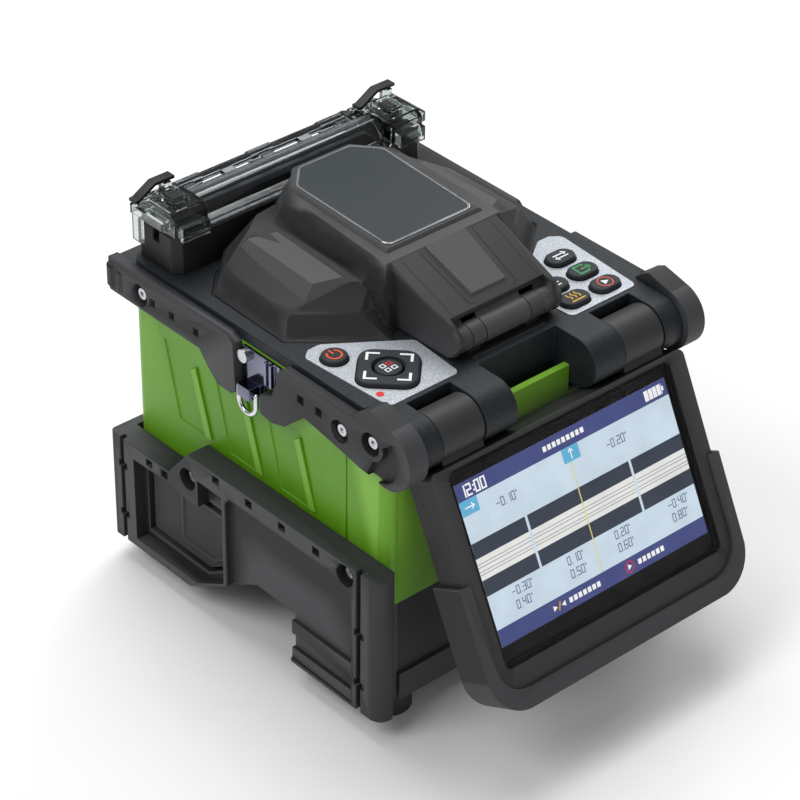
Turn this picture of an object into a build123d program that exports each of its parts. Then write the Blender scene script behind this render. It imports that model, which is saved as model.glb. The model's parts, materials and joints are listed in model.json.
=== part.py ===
"""Portable fibre fusion splicer: a rugged case with a tilting screen, a wind cover over the splice
well, a sleeve heater along the back, two keypads and a battery that slides out of the left side.

Millimetres. +X is the user's right, -Y faces the user and the screen, +Z is up. z = 0 is the plane of
the feet, and x = y = 0 is the middle of the machine's plan with the screen at its working tilt.
Side outlines are lists of (y, z) points, plan outlines are lists of (x, y) points.
"""

import os
from math import cos, radians, sin

from build123d import *

os.makedirs("parts", exist_ok=True)

# Case
WALL = 2.5
GAP = 0.2
SHELL_HALF = 62.0
SHELL_FRONT = -45.0
SHELL_REAR = 88.0
SHELL_CORNER = 5.0
BASE_UNDER = 9.0
BASE_TOP = 49.0
DECK_UNDER = 118.0
DECK_TOP = 122.3
ARCH_FRONT = -7.0
ARCH_TOP = 28.0
RAMP_TOP_Y = 14.0
RAMP_FOOT_Y = 48.0

# Rubber guards
GUARD_HALF = 71.5
GUARD_FRONT = -52.0
GUARD_REAR = 92.0
UPPER_HALF = 66.2
UPPER_REAR = 97.0
SCREW_HEAD_R = 2.1
GUARD_INNER = SHELL_HALF + GAP

# Screen and its hinge
HINGE_Y = -48.0
HINGE_Z = 113.0
EAR_R = DECK_TOP - HINGE_Z
KNUCKLE_R = 9.0
PIN_R = 2.5
RUNNING = 0.05
SCREEN_TILT = 26.2
GLASS_FRONT = 5.8
GLASS_TOP = -11.8
GLASS_W = 99.4
GLASS_H = 68.6
SCREEN_HALF = 57.0
SCREEN_BOTTOM = -92.5

# Wind cover and its hinge
COVER_PIN_Y = -29.5
COVER_PIN_Z = 128.0
COVER_BARREL_R = 4.5
COVER_PIN_R = 2.0
SEAT_Z = 121.5
COVER_SKIN = 2.2

# Sleeve heater
HEATER_HALF = 59.0
HEATER_FRONT = 66.2
HEATER_REAR = 87.2
HEATER_TOP = 136.4
LID_PIN_Y = 90.0
LID_PIN_Z = 139.6
LID_PIN_R = 1.0
LID_HALF = 43.6
CLAMP_OUTER = 58.6
RIGHT_TRIM = 6.6

# Battery, in the left end of the base
BATTERY_FACE = -65.0
BATTERY_END = 40.0

# Splice well
WELL_HALF = 38.0
WELL_FRONT = 6.0
WELL_REAR = 50.0
FIBRE_Y = 28.0
CHASSIS_FLOOR = 104.0

# Keypads
KEY_TOP = 124.3
KEY_SKIRT = 115.6
KEY_GAP = 0.35
OK_GAP = 0.7


def side_slab(outline, x_from, x_to, mode=Mode.ADD):
    """Adds or cuts a (y, z) side outline between two x planes."""
    with BuildSketch(Plane.YZ.offset(min(x_from, x_to))) as profile:
        with BuildLine():
            Polyline(*outline, close=True)
        make_face()
    extrude(profile.sketch, amount=abs(x_to - x_from), mode=mode)


def plan_slab(outline, z_from, z_to, corner=0, mode=Mode.ADD):
    """Adds or cuts an (x, y) plan outline between two heights, with its corners rounded."""
    with BuildSketch(Plane.XY.offset(z_from)) as profile:
        with BuildLine():
            Polyline(*outline, close=True)
        make_face()
        if corner:
            fillet(profile.vertices(), corner)
    extrude(profile.sketch, amount=z_to - z_from, mode=mode)


def block(x_span, y_span, z_span, corner=0, mode=Mode.ADD):
    """Adds or cuts an upright box given by its spans, with rounded vertical edges."""
    x_low, x_high = sorted(x_span)
    y_low, y_high = y_span
    outline = [(x_low, y_low), (x_high, y_low), (x_high, y_high), (x_low, y_high)]
    plan_slab(outline, z_span[0], z_span[1], corner, mode)


def rod_x(y, z, radius, x_from, x_to, mode=Mode.ADD):
    """Adds or cuts a cylinder along X."""
    with BuildSketch(Plane.YZ.offset(min(x_from, x_to))) as profile:
        with Locations((y, z)):
            Circle(radius)
    extrude(profile.sketch, amount=abs(x_to - x_from), mode=mode)


def rod_y(x, z, radius, y_from, y_to, mode=Mode.ADD):
    """Adds or cuts a cylinder along Y."""
    with BuildSketch(Plane.XZ.offset(-max(y_from, y_to))) as profile:
        with Locations((x, z)):
            Circle(radius)
    extrude(profile.sketch, amount=abs(y_to - y_from), mode=mode)


def rod_z(x, y, radius, z_from, z_to, mode=Mode.ADD):
    """Adds or cuts a cylinder along Z."""
    with BuildSketch(Plane.XY.offset(z_from)) as profile:
        with Locations((x, y)):
            Circle(radius)
    extrude(profile.sketch, amount=z_to - z_from, mode=mode)


def save(piece, name):
    """Labels a finished piece and writes its STEP file."""
    piece.part.label = name
    export_step(piece.part, f"parts/{name}.step")


SIDES = {"left": -1, "right": 1}

# ---------------------------------------------------------------- base tray

base_outline = [
    (SHELL_FRONT, BASE_UNDER),
    (ARCH_FRONT, BASE_UNDER),
    (ARCH_FRONT, ARCH_TOP),
    (RAMP_TOP_Y, ARCH_TOP),
    (RAMP_FOOT_Y, BASE_UNDER),
    (SHELL_REAR, BASE_UNDER),
    (SHELL_REAR, BASE_TOP),
    (SHELL_FRONT, BASE_TOP),
]
base_cavity = [
    (SHELL_FRONT + WALL, BASE_UNDER + WALL),
    (ARCH_FRONT - WALL, BASE_UNDER + WALL),
    (ARCH_FRONT - WALL, ARCH_TOP + WALL),
    (RAMP_TOP_Y + 0.8, ARCH_TOP + WALL),
    (RAMP_FOOT_Y + 0.8, BASE_UNDER + WALL),
    (SHELL_REAR - WALL, BASE_UNDER + WALL),
    (SHELL_REAR - WALL, BASE_TOP + 1),
    (SHELL_FRONT + WALL, BASE_TOP + 1),
]
battery_profile = [(76, 16), (76, 45), (31.5, 45), (31.5, 24), (44, 16)]
battery_mouth = [(77, 15), (77, 46), (30.5, 46), (30.5, 23.4), (43.6, 15)]
STRIP_TOP = 20.0
BUSH_Y = 3.5
BUSH_R = 7.0
BUSH_H = 10.0
THREAD_R = 3.175
THREAD_DEPTH = 9.0
BOARD_Z = 53.0
board_posts = [(x, y) for x in (-52, 52) for y in (-37.5, 80)]
FOOT_R = 8.0
foot_places = [(x, y) for x in (-54, 54) for y in (-37, 76)]

with BuildPart() as base_tray:
    side_slab(base_outline, -SHELL_HALF, SHELL_HALF)
    block((-SHELL_HALF, SHELL_HALF), (SHELL_FRONT, SHELL_REAR), (0, 60), SHELL_CORNER, Mode.INTERSECT)
    side_slab(base_cavity, -SHELL_HALF + WALL, SHELL_HALF - WALL, Mode.SUBTRACT)
    block((-57.6, 57.6), (SHELL_FRONT - 1.6, SHELL_FRONT), (BASE_UNDER, STRIP_TOP))
    side_slab(battery_mouth, -SHELL_HALF - 1, -SHELL_HALF + WALL + 1, Mode.SUBTRACT)
    rod_z(0, BUSH_Y, BUSH_R + 2.5, ARCH_TOP, ARCH_TOP + BUSH_H)
    rod_z(0, BUSH_Y, BUSH_R, ARCH_TOP - 1, ARCH_TOP + BUSH_H + 1, Mode.SUBTRACT)
    for rail_y in (54, 72):
        block((-59, 42), (rail_y - 2, rail_y + 2), (BASE_UNDER + WALL, 15.6))
    for post_x, post_y in board_posts:
        rod_z(post_x, post_y, 2.5, BASE_UNDER + WALL, BOARD_Z)
save(base_tray, "base_tray")

with BuildPart() as tripod_bush:
    rod_z(0, BUSH_Y, BUSH_R, ARCH_TOP, ARCH_TOP + BUSH_H)
    rod_z(0, BUSH_Y, THREAD_R, ARCH_TOP, ARCH_TOP + THREAD_DEPTH, Mode.SUBTRACT)
save(tripod_bush, "tripod_bush")

with BuildPart() as rubber_feet:
    for foot_x, foot_y in foot_places:
        with BuildSketch(Plane.XY) as foot_plan:
            with Locations((foot_x, foot_y)):
                Circle(FOOT_R)
        extrude(foot_plan.sketch, amount=BASE_UNDER)
    fillet(rubber_feet.faces().group_by(Axis.Z)[0].edges(), 1.2)
save(rubber_feet, "rubber_feet")

# ---------------------------------------------------------------- green body shell

TROUGH_BACK = -36.3
TROUGH_Z = 100.0
NOTCH_HALF = 17.4
NOTCH_WALL_TOP = 116.5
RIDGE_PITCH = 27.2
PANEL_W = 17.5
RIDGE_TOP_Y = 53.2
RIDGE_LEAN = 7.6
RIDGE_LOW = 68.0
RIDGE_HIGH = 94.5
SOCKET_Z = 72.0

with BuildPart() as body_shell:
    block((-SHELL_HALF, SHELL_HALF), (SHELL_FRONT, SHELL_REAR), (BASE_TOP, DECK_UNDER), SHELL_CORNER)
    inner = SHELL_HALF - WALL
    block(
        (-inner, inner),
        (SHELL_FRONT + WALL, SHELL_REAR - WALL),
        (BASE_TOP - 1, DECK_UNDER + 1),
        SHELL_CORNER - WALL,
        Mode.SUBTRACT,
    )
    block(
        (-NOTCH_HALF, NOTCH_HALF),
        (SHELL_FRONT - 1, SHELL_FRONT + WALL + 1),
        (NOTCH_WALL_TOP, DECK_UNDER + 1),
        mode=Mode.SUBTRACT,
    )
    for side in SIDES.values():
        face = side * SHELL_HALF
        block(
            (side * NOTCH_HALF, side * (SHELL_HALF + 1)),
            (SHELL_FRONT - 1, TROUGH_BACK),
            (TROUGH_Z, DECK_UNDER + 1),
            mode=Mode.SUBTRACT,
        )
        for index in range(3):
            top_y = RIDGE_TOP_Y - index * RIDGE_PITCH
            low_y = top_y - RIDGE_LEAN
            panel = [(top_y, RIDGE_HIGH + 3), (low_y, RIDGE_LOW), (low_y + PANEL_W, RIDGE_LOW)]
            panel.append((top_y + PANEL_W, RIDGE_HIGH + 3))
            side_slab(panel, face + side, face - side * 0.5, Mode.SUBTRACT)
            ridge = [(top_y - 0.4, RIDGE_HIGH), (low_y - 0.6, RIDGE_LOW + 0.6)]
            ridge += [(low_y + 2.6, RIDGE_LOW + 0.6), (top_y + 2.2, RIDGE_HIGH - 2)]
            side_slab(ridge, face - side, face + side * 0.9)
        seam = [(-25, BASE_TOP), (-24.2, BASE_TOP), (-24.2, TROUGH_Z), (-25, TROUGH_Z)]
        side_slab(seam, face + side, face - side * 0.5, Mode.SUBTRACT)
    rod_y(-28, SOCKET_Z, 5.5, SHELL_REAR - 4, SHELL_REAR + 1, Mode.SUBTRACT)
    block((18, 32), (SHELL_REAR - 4, SHELL_REAR + 1), (SOCKET_Z - 3.5, SOCKET_Z + 3.5), mode=Mode.SUBTRACT)
save(body_shell, "body_shell")

with BuildPart() as dc_jack:
    rod_y(-28, SOCKET_Z, 5.5, SHELL_REAR - 13, SHELL_REAR)
    rod_y(-28, SOCKET_Z, 3.2, SHELL_REAR - 10, SHELL_REAR, Mode.SUBTRACT)
    rod_y(-28, SOCKET_Z, 1.05, SHELL_REAR - 11, SHELL_REAR - 1)
save(dc_jack, "dc_jack")

with BuildPart() as usb_port:
    block((18, 32), (SHELL_REAR - 14, SHELL_REAR), (SOCKET_Z - 3.5, SOCKET_Z + 3.5))
    socket_depth = (SHELL_REAR - 12, SHELL_REAR + 1)
    block((18.7, 31.3), socket_depth, (SOCKET_Z - 2.6, SOCKET_Z + 2.6), mode=Mode.SUBTRACT)
    block((19.4, 30.6), (SHELL_REAR - 12, SHELL_REAR - 1), (SOCKET_Z + 0.5, SOCKET_Z + 2.0))
save(usb_port, "usb_port")

# ---------------------------------------------------------------- top deck

SLOT_INNER = 31.2
SLOT_OUTER = 49.8
BARREL_END = 58.0
POCKET_WALL = 1.6
POCKET_FLOOR = 104.4
PIN_INNER = 27.2
SLOT_BACK = -39.4
NOTCH_BACK = -37.6
BRACKET_HALF = 16.0
cover_base = [(46, 61.5), (56.3, 51), (57, 13), (30, -10.5)]
panel_outline = [(25.2, -37.6), (55.2, -37.6), (57.8, 1), (54.2, 4), (49, 4), (23.4, -14.2)]
keys = {
    "power_button": (-50.9, -5.6),
    "xy_button": (46.6, -9.6),
    "exit_button": (46.6, -20.4),
    "start_button": (46.6, -31.2),
    "menu_button": (32.4, -20.9),
    "heat_button": (32.4, -31.2),
}
PAD_X = -42.2
PAD_Y = -22.2
PAD_W = 20.4
PAD_CORNER = 5.0
PAD_TURN = 45
OK_R = 4.7
POWER_R = 4.6
KEY_W = 11.6
KEY_D = 7.8
led_places = [(-53.1, -30.6), (35.4, -11.4)]
keypad_posts = [(56.8, 0), (56.8, -34), (29.5, -9.5)]
KEY_BOARD_Z = 110.4


def mirrored(outline):
    """Completes a right-hand plan outline with its left-hand mirror image."""
    return outline + [(-x, y) for x, y in reversed(outline)]


def sided(outline, side):
    """Gives a right-hand plan outline on either side."""
    return [(side * x, y) for x, y in outline]


def key_prism(name, grow, z_from, z_to, mode=Mode.ADD):
    """Adds or cuts the upright form of one key, grown by a margin."""
    x, y = keys[name]
    with BuildSketch(Plane.XY.offset(z_from)) as plan:
        with Locations((x, y)):
            if name == "power_button":
                Circle(POWER_R + grow)
            else:
                half_d = KEY_D / 2 + grow
                RectangleRounded(KEY_W + 2 * grow, 2 * half_d, half_d - 0.05)
    extrude(plan.sketch, amount=z_to - z_from, mode=mode)


def pad_prism(grow, z_from, z_to, mode=Mode.ADD):
    """Adds or cuts the rounded square of the direction pad, grown by a margin."""
    with BuildSketch(Plane.XY.offset(z_from)) as plan:
        with Locations((PAD_X, PAD_Y)):
            width = PAD_W + 2 * grow
            RectangleRounded(width, width, PAD_CORNER + grow, rotation=PAD_TURN)
    extrude(plan.sketch, amount=z_to - z_from, mode=mode)


with BuildPart() as top_deck:
    block((-SHELL_HALF, SHELL_HALF), (HINGE_Y, SHELL_REAR), (DECK_UNDER, DECK_TOP))
    fillet(top_deck.edges().filter_by(Axis.Z).group_by(Axis.Y)[-1], SHELL_CORNER)
    through = (DECK_UNDER - 1, DECK_TOP + 1)
    block((-NOTCH_HALF, NOTCH_HALF), (HINGE_Y - 1, NOTCH_BACK), through, mode=Mode.SUBTRACT)
    pocket_back = NOTCH_BACK + POCKET_WALL
    pocket_front = SHELL_FRONT + WALL + GAP
    block((-NOTCH_HALF, NOTCH_HALF), (NOTCH_BACK, pocket_back), (POCKET_FLOOR, DECK_UNDER + 1))
    pocket_floor = (POCKET_FLOOR, POCKET_FLOOR + POCKET_WALL)
    block((-NOTCH_HALF, NOTCH_HALF), (pocket_front, pocket_back), pocket_floor)
    for side in SIDES.values():
        block(
            (side * SLOT_INNER, side * SLOT_OUTER),
            (HINGE_Y - 1, SLOT_BACK),
            (DECK_UNDER - 1, DECK_TOP + 1),
            mode=Mode.SUBTRACT,
        )
        block(
            (side * BARREL_END, side * (SHELL_HALF + 1)),
            (HINGE_Y - 1, SLOT_BACK),
            (DECK_UNDER - 1, DECK_TOP + 1),
            mode=Mode.SUBTRACT,
        )
        block((side * NOTCH_HALF, side * BARREL_END), (-38.6, -36.5), (TROUGH_Z + 0.1, DECK_UNDER))
        block((side * NOTCH_HALF, side * BARREL_END), (-44.8, -36.5), (TROUGH_Z + 0.1, TROUGH_Z + 1.6))
        for inner, outer in ((NOTCH_HALF, SLOT_INNER), (SLOT_OUTER, BARREL_END)):
            ear_side = [(HINGE_Y, HINGE_Z - EAR_R), (-37, HINGE_Z - EAR_R)]
            ear_side += [(-37, DECK_TOP), (HINGE_Y, DECK_TOP)]
            side_slab(ear_side, side * inner, side * outer)
            rod_x(HINGE_Y, HINGE_Z, EAR_R, side * inner, side * outer)
        rod_x(HINGE_Y, HINGE_Z, PIN_R, side * PIN_INNER, side * BARREL_END, Mode.SUBTRACT)
        panel_seat = sided(panel_outline, side)
        plan_slab(panel_seat, DECK_TOP - 1, DECK_TOP + 1, 2.5, Mode.SUBTRACT)
    plan_slab(mirrored(cover_base), SEAT_Z, DECK_TOP + 1, mode=Mode.SUBTRACT)
    block(
        (-WELL_HALF - 1, WELL_HALF + 1),
        (WELL_FRONT - 1, WELL_REAR + 1),
        (DECK_UNDER - 1, DECK_TOP),
        3,
        Mode.SUBTRACT,
    )
    block((-BRACKET_HALF, BRACKET_HALF), (-34.5, -24.5), (119.3, DECK_TOP + 1), mode=Mode.SUBTRACT)
    for side in SIDES.values():
        for post_x, post_y in keypad_posts:
            rod_z(side * post_x, post_y, 1.5, KEY_BOARD_Z, DECK_UNDER)
    for key in keys:
        key_prism(key, KEY_GAP, DECK_UNDER - 1, DECK_TOP + 1, Mode.SUBTRACT)
    pad_prism(KEY_GAP, DECK_UNDER - 1, DECK_TOP + 1, Mode.SUBTRACT)
save(top_deck, "top_deck")

for side_name, side in SIDES.items():
    with BuildPart() as keypad_panel:
        plan_slab(sided(panel_outline, side), DECK_TOP - 1, DECK_TOP + 0.3, 2.5)
        for key in keys:
            key_prism(key, KEY_GAP, DECK_UNDER, DECK_TOP + 1, Mode.SUBTRACT)
        pad_prism(KEY_GAP, DECK_UNDER, DECK_TOP + 1, Mode.SUBTRACT)
        for led_x, led_y in led_places:
            rod_z(led_x, led_y, 1.3, DECK_UNDER, DECK_TOP + 1, Mode.SUBTRACT)
    save(keypad_panel, f"keypad_panel_{side_name}")

with BuildPart() as indicator_leds:
    for led_x, led_y in led_places:
        rod_z(led_x, led_y, 1.3, DECK_TOP - 1, DECK_TOP + 0.5)
save(indicator_leds, "indicator_leds")

# ---------------------------------------------------------------- keys

SKIRT_T = 1.8
for key in keys:
    with BuildPart() as button:
        key_prism(key, 0, KEY_SKIRT, KEY_TOP)
        fillet(button.faces().sort_by(Axis.Z)[-1].edges(), 0.8)
        key_prism(key, 1.0, KEY_SKIRT, KEY_SKIRT + SKIRT_T)
    save(button, key)

OK_SKIRT = 112.0
with BuildPart() as dpad_button:
    pad_prism(0, KEY_SKIRT, KEY_TOP)
    fillet(dpad_button.faces().sort_by(Axis.Z)[-1].edges(), 0.8)
    pad_prism(1.0, KEY_SKIRT, KEY_SKIRT + SKIRT_T)
    rod_z(PAD_X, PAD_Y, OK_R + OK_GAP, KEY_SKIRT - 1, KEY_TOP + 1, Mode.SUBTRACT)
    rod_z(PAD_X, PAD_Y, OK_R + 1.1, KEY_TOP - 0.7, KEY_TOP + 1, Mode.SUBTRACT)
save(dpad_button, "dpad_button")

with BuildPart() as ok_button:
    rod_z(PAD_X, PAD_Y, OK_R, OK_SKIRT, KEY_TOP - 0.1)
    fillet(ok_button.faces().sort_by(Axis.Z)[-1].edges(), 0.7)
    rod_z(PAD_X, PAD_Y, OK_R + 1.4, OK_SKIRT, OK_SKIRT + 1.4)
save(ok_button, "ok_button")

# ---------------------------------------------------------------- lower guards

GUARD_UNDER = 8.5
LOWER_TOP = 66.5
LOWER_REAR_TOP = 52.5
lower_outline = [
    (GUARD_FRONT, GUARD_UNDER),
    (ARCH_FRONT + 0.5, GUARD_UNDER),
    (ARCH_FRONT + 0.5, ARCH_TOP),
    (RAMP_TOP_Y, ARCH_TOP),
    (RAMP_FOOT_Y + 0.5, GUARD_UNDER),
    (GUARD_REAR, GUARD_UNDER),
    (GUARD_REAR, LOWER_REAR_TOP),
    (58.5, LOWER_REAR_TOP),
    (47.5, LOWER_TOP - 1),
    (GUARD_FRONT, LOWER_TOP),
]
field_outline = [(-37.5, 10), (27.5, 10), (27.5, 56), (25, 58.6), (-29, 58.6), (-37.5, 55)]
window_outline = [(78.6, 12), (78.6, 46.6), (55, 47.4), (50, 44.5), (42.5, 44.5), (42.5, 57), (29.5, 57)]
window_outline += [(29.5, 20.5), (44.5, 12)]
louvre_spans = [(10, 14.5), (20.5, 26)]
lower_screws = [(47.8, 55), (-34.6, 61.4)]
lower_pockets = [(32.3 - 17.4 * step, 62.7) for step in range(4)] + [(61, 49.7), (69.5, 49.7)]
SCREW_RECESS_R = 4.2
SCREW_RECESS = 4.0

for side_name, side in SIDES.items():
    outer = side * GUARD_HALF
    with BuildPart() as lower_guard:
        side_slab(lower_outline, side * GUARD_INNER, outer)
        block((side * 50, side * GUARD_INNER), (SHELL_REAR + GAP, GUARD_REAR), (GUARD_UNDER, LOWER_REAR_TOP))
        upright = lower_guard.edges().filter_by(Axis.Z)
        outer_front = upright.filter_by(lambda e: abs(e.center().X) > 71 and e.center().Y < -51)
        outer_rear = upright.filter_by(lambda e: abs(e.center().X) > 71 and e.center().Y > 91)
        inner_front = upright.filter_by(lambda e: abs(e.center().X) < 62.5 and e.center().Y < -51)
        fillet(outer_front, 5)
        fillet(outer_rear, 2.5)
        chamfer(inner_front, 3.4)
        side_slab(field_outline, outer + side, outer - side * 2.2, Mode.SUBTRACT)
        for low, high in louvre_spans:
            block((outer - side * 3, outer - side * 0.6), (-37.5, ARCH_FRONT + 0.5), (low, high))
        side_slab(window_outline, outer + side, outer - side * 5, Mode.SUBTRACT)
        if side_name == "left":
            side_slab(battery_mouth, outer, side * (GUARD_INNER - 1), Mode.SUBTRACT)
        for low_y, high_y in ((-42.4, -40.2), (84.2, 86.2)):
            block((outer + side, outer - side * 2.6), (low_y, high_y), (0, 68), mode=Mode.SUBTRACT)
            for notch_z in (20, 41):
                block(
                    (outer + side, outer - side * 2.6),
                    (low_y - 1.6, high_y + 1),
                    (notch_z - 1.4, notch_z + 1.4),
                    mode=Mode.SUBTRACT,
                )
        for pocket_y, pocket_z in lower_pockets:
            block(
                (outer + side, outer - side * 2),
                (pocket_y - 1.7, pocket_y + 1.7),
                (pocket_z - 1.5, pocket_z + 1.5),
                mode=Mode.SUBTRACT,
            )
        for screw_y, screw_z in lower_screws:
            rod_x(screw_y, screw_z, SCREW_RECESS_R, outer + side, outer - side * SCREW_RECESS, Mode.SUBTRACT)
    save(lower_guard, f"lower_guard_{side_name}")

# ---------------------------------------------------------------- upper guards

rear_guard_outline = [(UPPER_REAR, 107.5), (UPPER_REAR, 118), (UPPER_REAR - 2, 120.5), (31, 120.5)]
rear_guard_outline += [(28, 118), (27, 99.5)]
rear_guard_outline += [(29, 98), (36.5, 98), (42, 103), (46, 107.5)]
front_guard_outline = [(14.5, 97.5), (14.5, 105), (8.5, 107.5), (6, 113), (5.5, 118), (3, 120.5)]
front_guard_outline += [(-31, 120.5), (-37, 125.6), (-40, 127), (-42.6, 126.4), (-50.9, 124.2), (-50, 102)]
front_guard_outline += [(-36, 102.5), (-26, 104.5), (-8, 107.5), (2, 98.6), (8, 96.8)]
LOBE_R = 11.6
RIB_R = 3.5
upper_screws = [(78, 112.8), (-25.8, 111.5), (-40.8, 114.5)]
rear_pockets = [(87.5, 113), (71, 113), (60.5, 113), (47.5, 113)]
front_pockets = [(-6.5, 113.5), (-15.5, 113.5)]


def small_pockets(places, outer, side):
    """Cuts the square dimples in a guard's outer face."""
    for pocket_y, pocket_z in places:
        block(
            (outer + side, outer - side * 1.8),
            (pocket_y - 1.5, pocket_y + 1.5),
            (pocket_z - 1.5, pocket_z + 1.5),
            mode=Mode.SUBTRACT,
        )


for side_name, side in SIDES.items():
    outer = side * UPPER_HALF
    with BuildPart() as rear_guard:
        side_slab(rear_guard_outline, side * GUARD_INNER, outer)
        block((side * 48, side * GUARD_INNER), (SHELL_REAR + GAP, UPPER_REAR), (107.5, 118))
        upright = rear_guard.edges().filter_by(Axis.Z)
        fillet(upright.filter_by(lambda e: abs(e.center().X) > 66 and e.center().Y > UPPER_REAR - 1), 3)
        for rib_y in (UPPER_REAR - 8, UPPER_REAR - 2.6):
            rod_z(side * 63.2, rib_y, RIB_R, 109, 116.5)
        small_pockets(rear_pockets[1:], outer, side)
        rod_x(78, 112.8, SCREW_RECESS_R, outer + side, outer - side * 2.6, Mode.SUBTRACT)
        hidden = (side * 40, side * (GUARD_INNER - 0.01))
        block(hidden, (80, SHELL_REAR + GAP), (100, 121), mode=Mode.SUBTRACT)
    save(rear_guard, f"rear_guard_{side_name}")

    with BuildPart() as front_guard:
        side_slab(front_guard_outline, side * GUARD_INNER, outer)
        rod_x(HINGE_Y, HINGE_Z, LOBE_R, side * (BARREL_END + 0.3), outer)
        peak = [(-39.6, 122.5), (-33.4, 122.5), (-37, 125.6), (-40, 127), (-42.6, 126.4), (-50.9, 124.2)]
        peak += [(-48, 116)]
        side_slab(peak, side * (BARREL_END + 0.3), outer)
        deck_side = (side * 57, side * (GUARD_INNER - 0.01))
        block(deck_side, (-39.5, -30), (90, DECK_TOP + 0.15), mode=Mode.SUBTRACT)
        small_pockets(front_pockets, outer, side)
        for screw_y, screw_z in upper_screws[1:]:
            rod_x(screw_y, screw_z, SCREW_RECESS_R, outer + side, outer - side * 2.6, Mode.SUBTRACT)
        with BuildSketch(Plane.YZ.offset(min(outer, outer - side * 2))) as crescent:
            with Locations((-43.5, 112.5)):
                Circle(10.6)
            with Locations((-40.8, 114.5)):
                Circle(6.0, mode=Mode.SUBTRACT)
            with BuildLine():
                Polyline((-30, 130), (-44, 126), (-52, 121), (-43, 112), (-38, 98), (-30, 98), close=True)
            make_face(mode=Mode.SUBTRACT)
        extrude(crescent.sketch, amount=2, mode=Mode.SUBTRACT)
    save(front_guard, f"front_guard_{side_name}")

with BuildPart() as case_screws:
    for side in SIDES.values():
        for screw_y, screw_z in lower_screws:
            floor = GUARD_HALF - SCREW_RECESS
            rod_x(screw_y, screw_z, SCREW_HEAD_R, side * floor, side * (floor + 1.6))
            rod_x(screw_y, screw_z, 0.9, side * (floor + 0.8), side * (floor + 2), Mode.SUBTRACT)
        for screw_y, screw_z in upper_screws:
            floor = UPPER_HALF - 2.6
            rod_x(screw_y, screw_z, SCREW_HEAD_R, side * floor, side * (floor + 1.4))
            rod_x(screw_y, screw_z, 0.9, side * (floor + 0.7), side * (floor + 2), Mode.SUBTRACT)
        rod_x(24.4, 114.6, 2.4, side * (SHELL_HALF + 1.4), side * (SHELL_HALF + 3.2))
save(case_screws, "case_screws")

# ---------------------------------------------------------------- strap brackets and rings

RING_Y = 20.7
RING_Z = 103.0
RING_X = SHELL_HALF + 4.0
RING_WIRE = 0.9
RING_HALF = 4.4
RING_DROP = 8.6
bracket_outline = [(26.4, 117.5), (26.4, 101), (15.2, 101), (15.2, 105.6), (9.4, 108.3)]
bracket_outline += [(7.2, 113.5), (7.2, 117.5)]

for side_name, side in SIDES.items():
    with BuildPart() as strap_bracket:
        side_slab(bracket_outline, side * (SHELL_HALF + GAP), side * (SHELL_HALF + 1.4))
        plate_face = side * (SHELL_HALF + 1.3)
        for rib_y in (10.6, 13.2):
            block((plate_face, plate_face + side * 1.5), (rib_y - 0.6, rib_y + 0.6), (108.5, 117.5))
        block((plate_face, side * (RING_X + 2)), (RING_Y - 3.2, RING_Y + 3.2), (RING_Z - 2, RING_Z + 2.6))
        rod_y(side * RING_X, RING_Z, RING_WIRE + RUNNING, RING_Y - 4, RING_Y + 4, Mode.SUBTRACT)
    save(strap_bracket, f"strap_bracket_{side_name}")

    with BuildPart() as strap_ring:
        rod_y(side * RING_X, RING_Z, RING_WIRE, RING_Y - RING_HALF, RING_Y + RING_HALF)
        with BuildLine(Plane.YZ.offset(side * RING_X)) as bow:
            Line((RING_Y - RING_HALF, RING_Z), (RING_Y - RING_HALF, RING_Z - 3.8))
            ThreePointArc(
                (RING_Y - RING_HALF, RING_Z - 3.8),
                (RING_Y, RING_Z - RING_DROP),
                (RING_Y + RING_HALF, RING_Z - 3.8),
            )
            Line((RING_Y + RING_HALF, RING_Z - 3.8), (RING_Y + RING_HALF, RING_Z))
        with BuildSketch(Plane(bow.line @ 0, z_dir=bow.line % 0)) as wire:
            Circle(RING_WIRE)
        sweep(wire.sketch, path=bow.line)
        for end_y in (RING_Y - RING_HALF, RING_Y + RING_HALF):
            with Locations((side * RING_X, end_y, RING_Z)):
                Sphere(RING_WIRE)
    save(strap_ring, f"strap_ring_{side_name}")

# ---------------------------------------------------------------- screen

tilt = radians(SCREEN_TILT)
screen_plane = Plane((0, HINGE_Y, HINGE_Z), x_dir=(1, 0, 0), z_dir=(0, -cos(tilt), sin(tilt)))
SCREEN_TOP = -9.8
BEZEL_BACK = -1.0
BEZEL_FRONT = GLASS_FRONT + 0.9
BACK_FACE = -5.2
KNUCKLE_INNER = SLOT_INNER + 0.4
KNUCKLE_OUTER = SLOT_OUTER - 0.4
LCD_W = 104.0
LCD_H = 63.0
LCD_Y = -46.8
GLASS_T = 1.1
LCD_FACE = GLASS_FRONT - GLASS_T - 0.3


def screen_slab(half, top, bottom, z_from, z_to, low_corner, top_corner=0.5, mode=Mode.ADD):
    """Adds or cuts a plate parallel to the glass, given in the hinge's own frame."""
    with BuildSketch(screen_plane.offset(z_from)) as plate:
        with BuildLine():
            Polyline((-half, bottom), (half, bottom), (half, top), (-half, top), close=True)
        make_face()
        corners = plate.vertices().sort_by(Axis.Y)
        fillet(corners[:2], low_corner)
        fillet(plate.vertices().sort_by(Axis.Y)[-2:], top_corner)
    extrude(plate.sketch, amount=z_to - z_from, mode=mode)


def screen_block(x_span, y_span, z_span, mode=Mode.ADD):
    """Adds or cuts a box in the hinge's own frame."""
    with BuildSketch(screen_plane.offset(z_span[0])) as plate:
        with BuildLine():
            low, high = sorted(x_span)
            Polyline((low, y_span[0]), (high, y_span[0]), (high, y_span[1]), (low, y_span[1]), close=True)
        make_face()
    extrude(plate.sketch, amount=z_span[1] - z_span[0], mode=mode)


glass_bottom = GLASS_TOP - GLASS_H
half_glass = GLASS_W / 2

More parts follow.
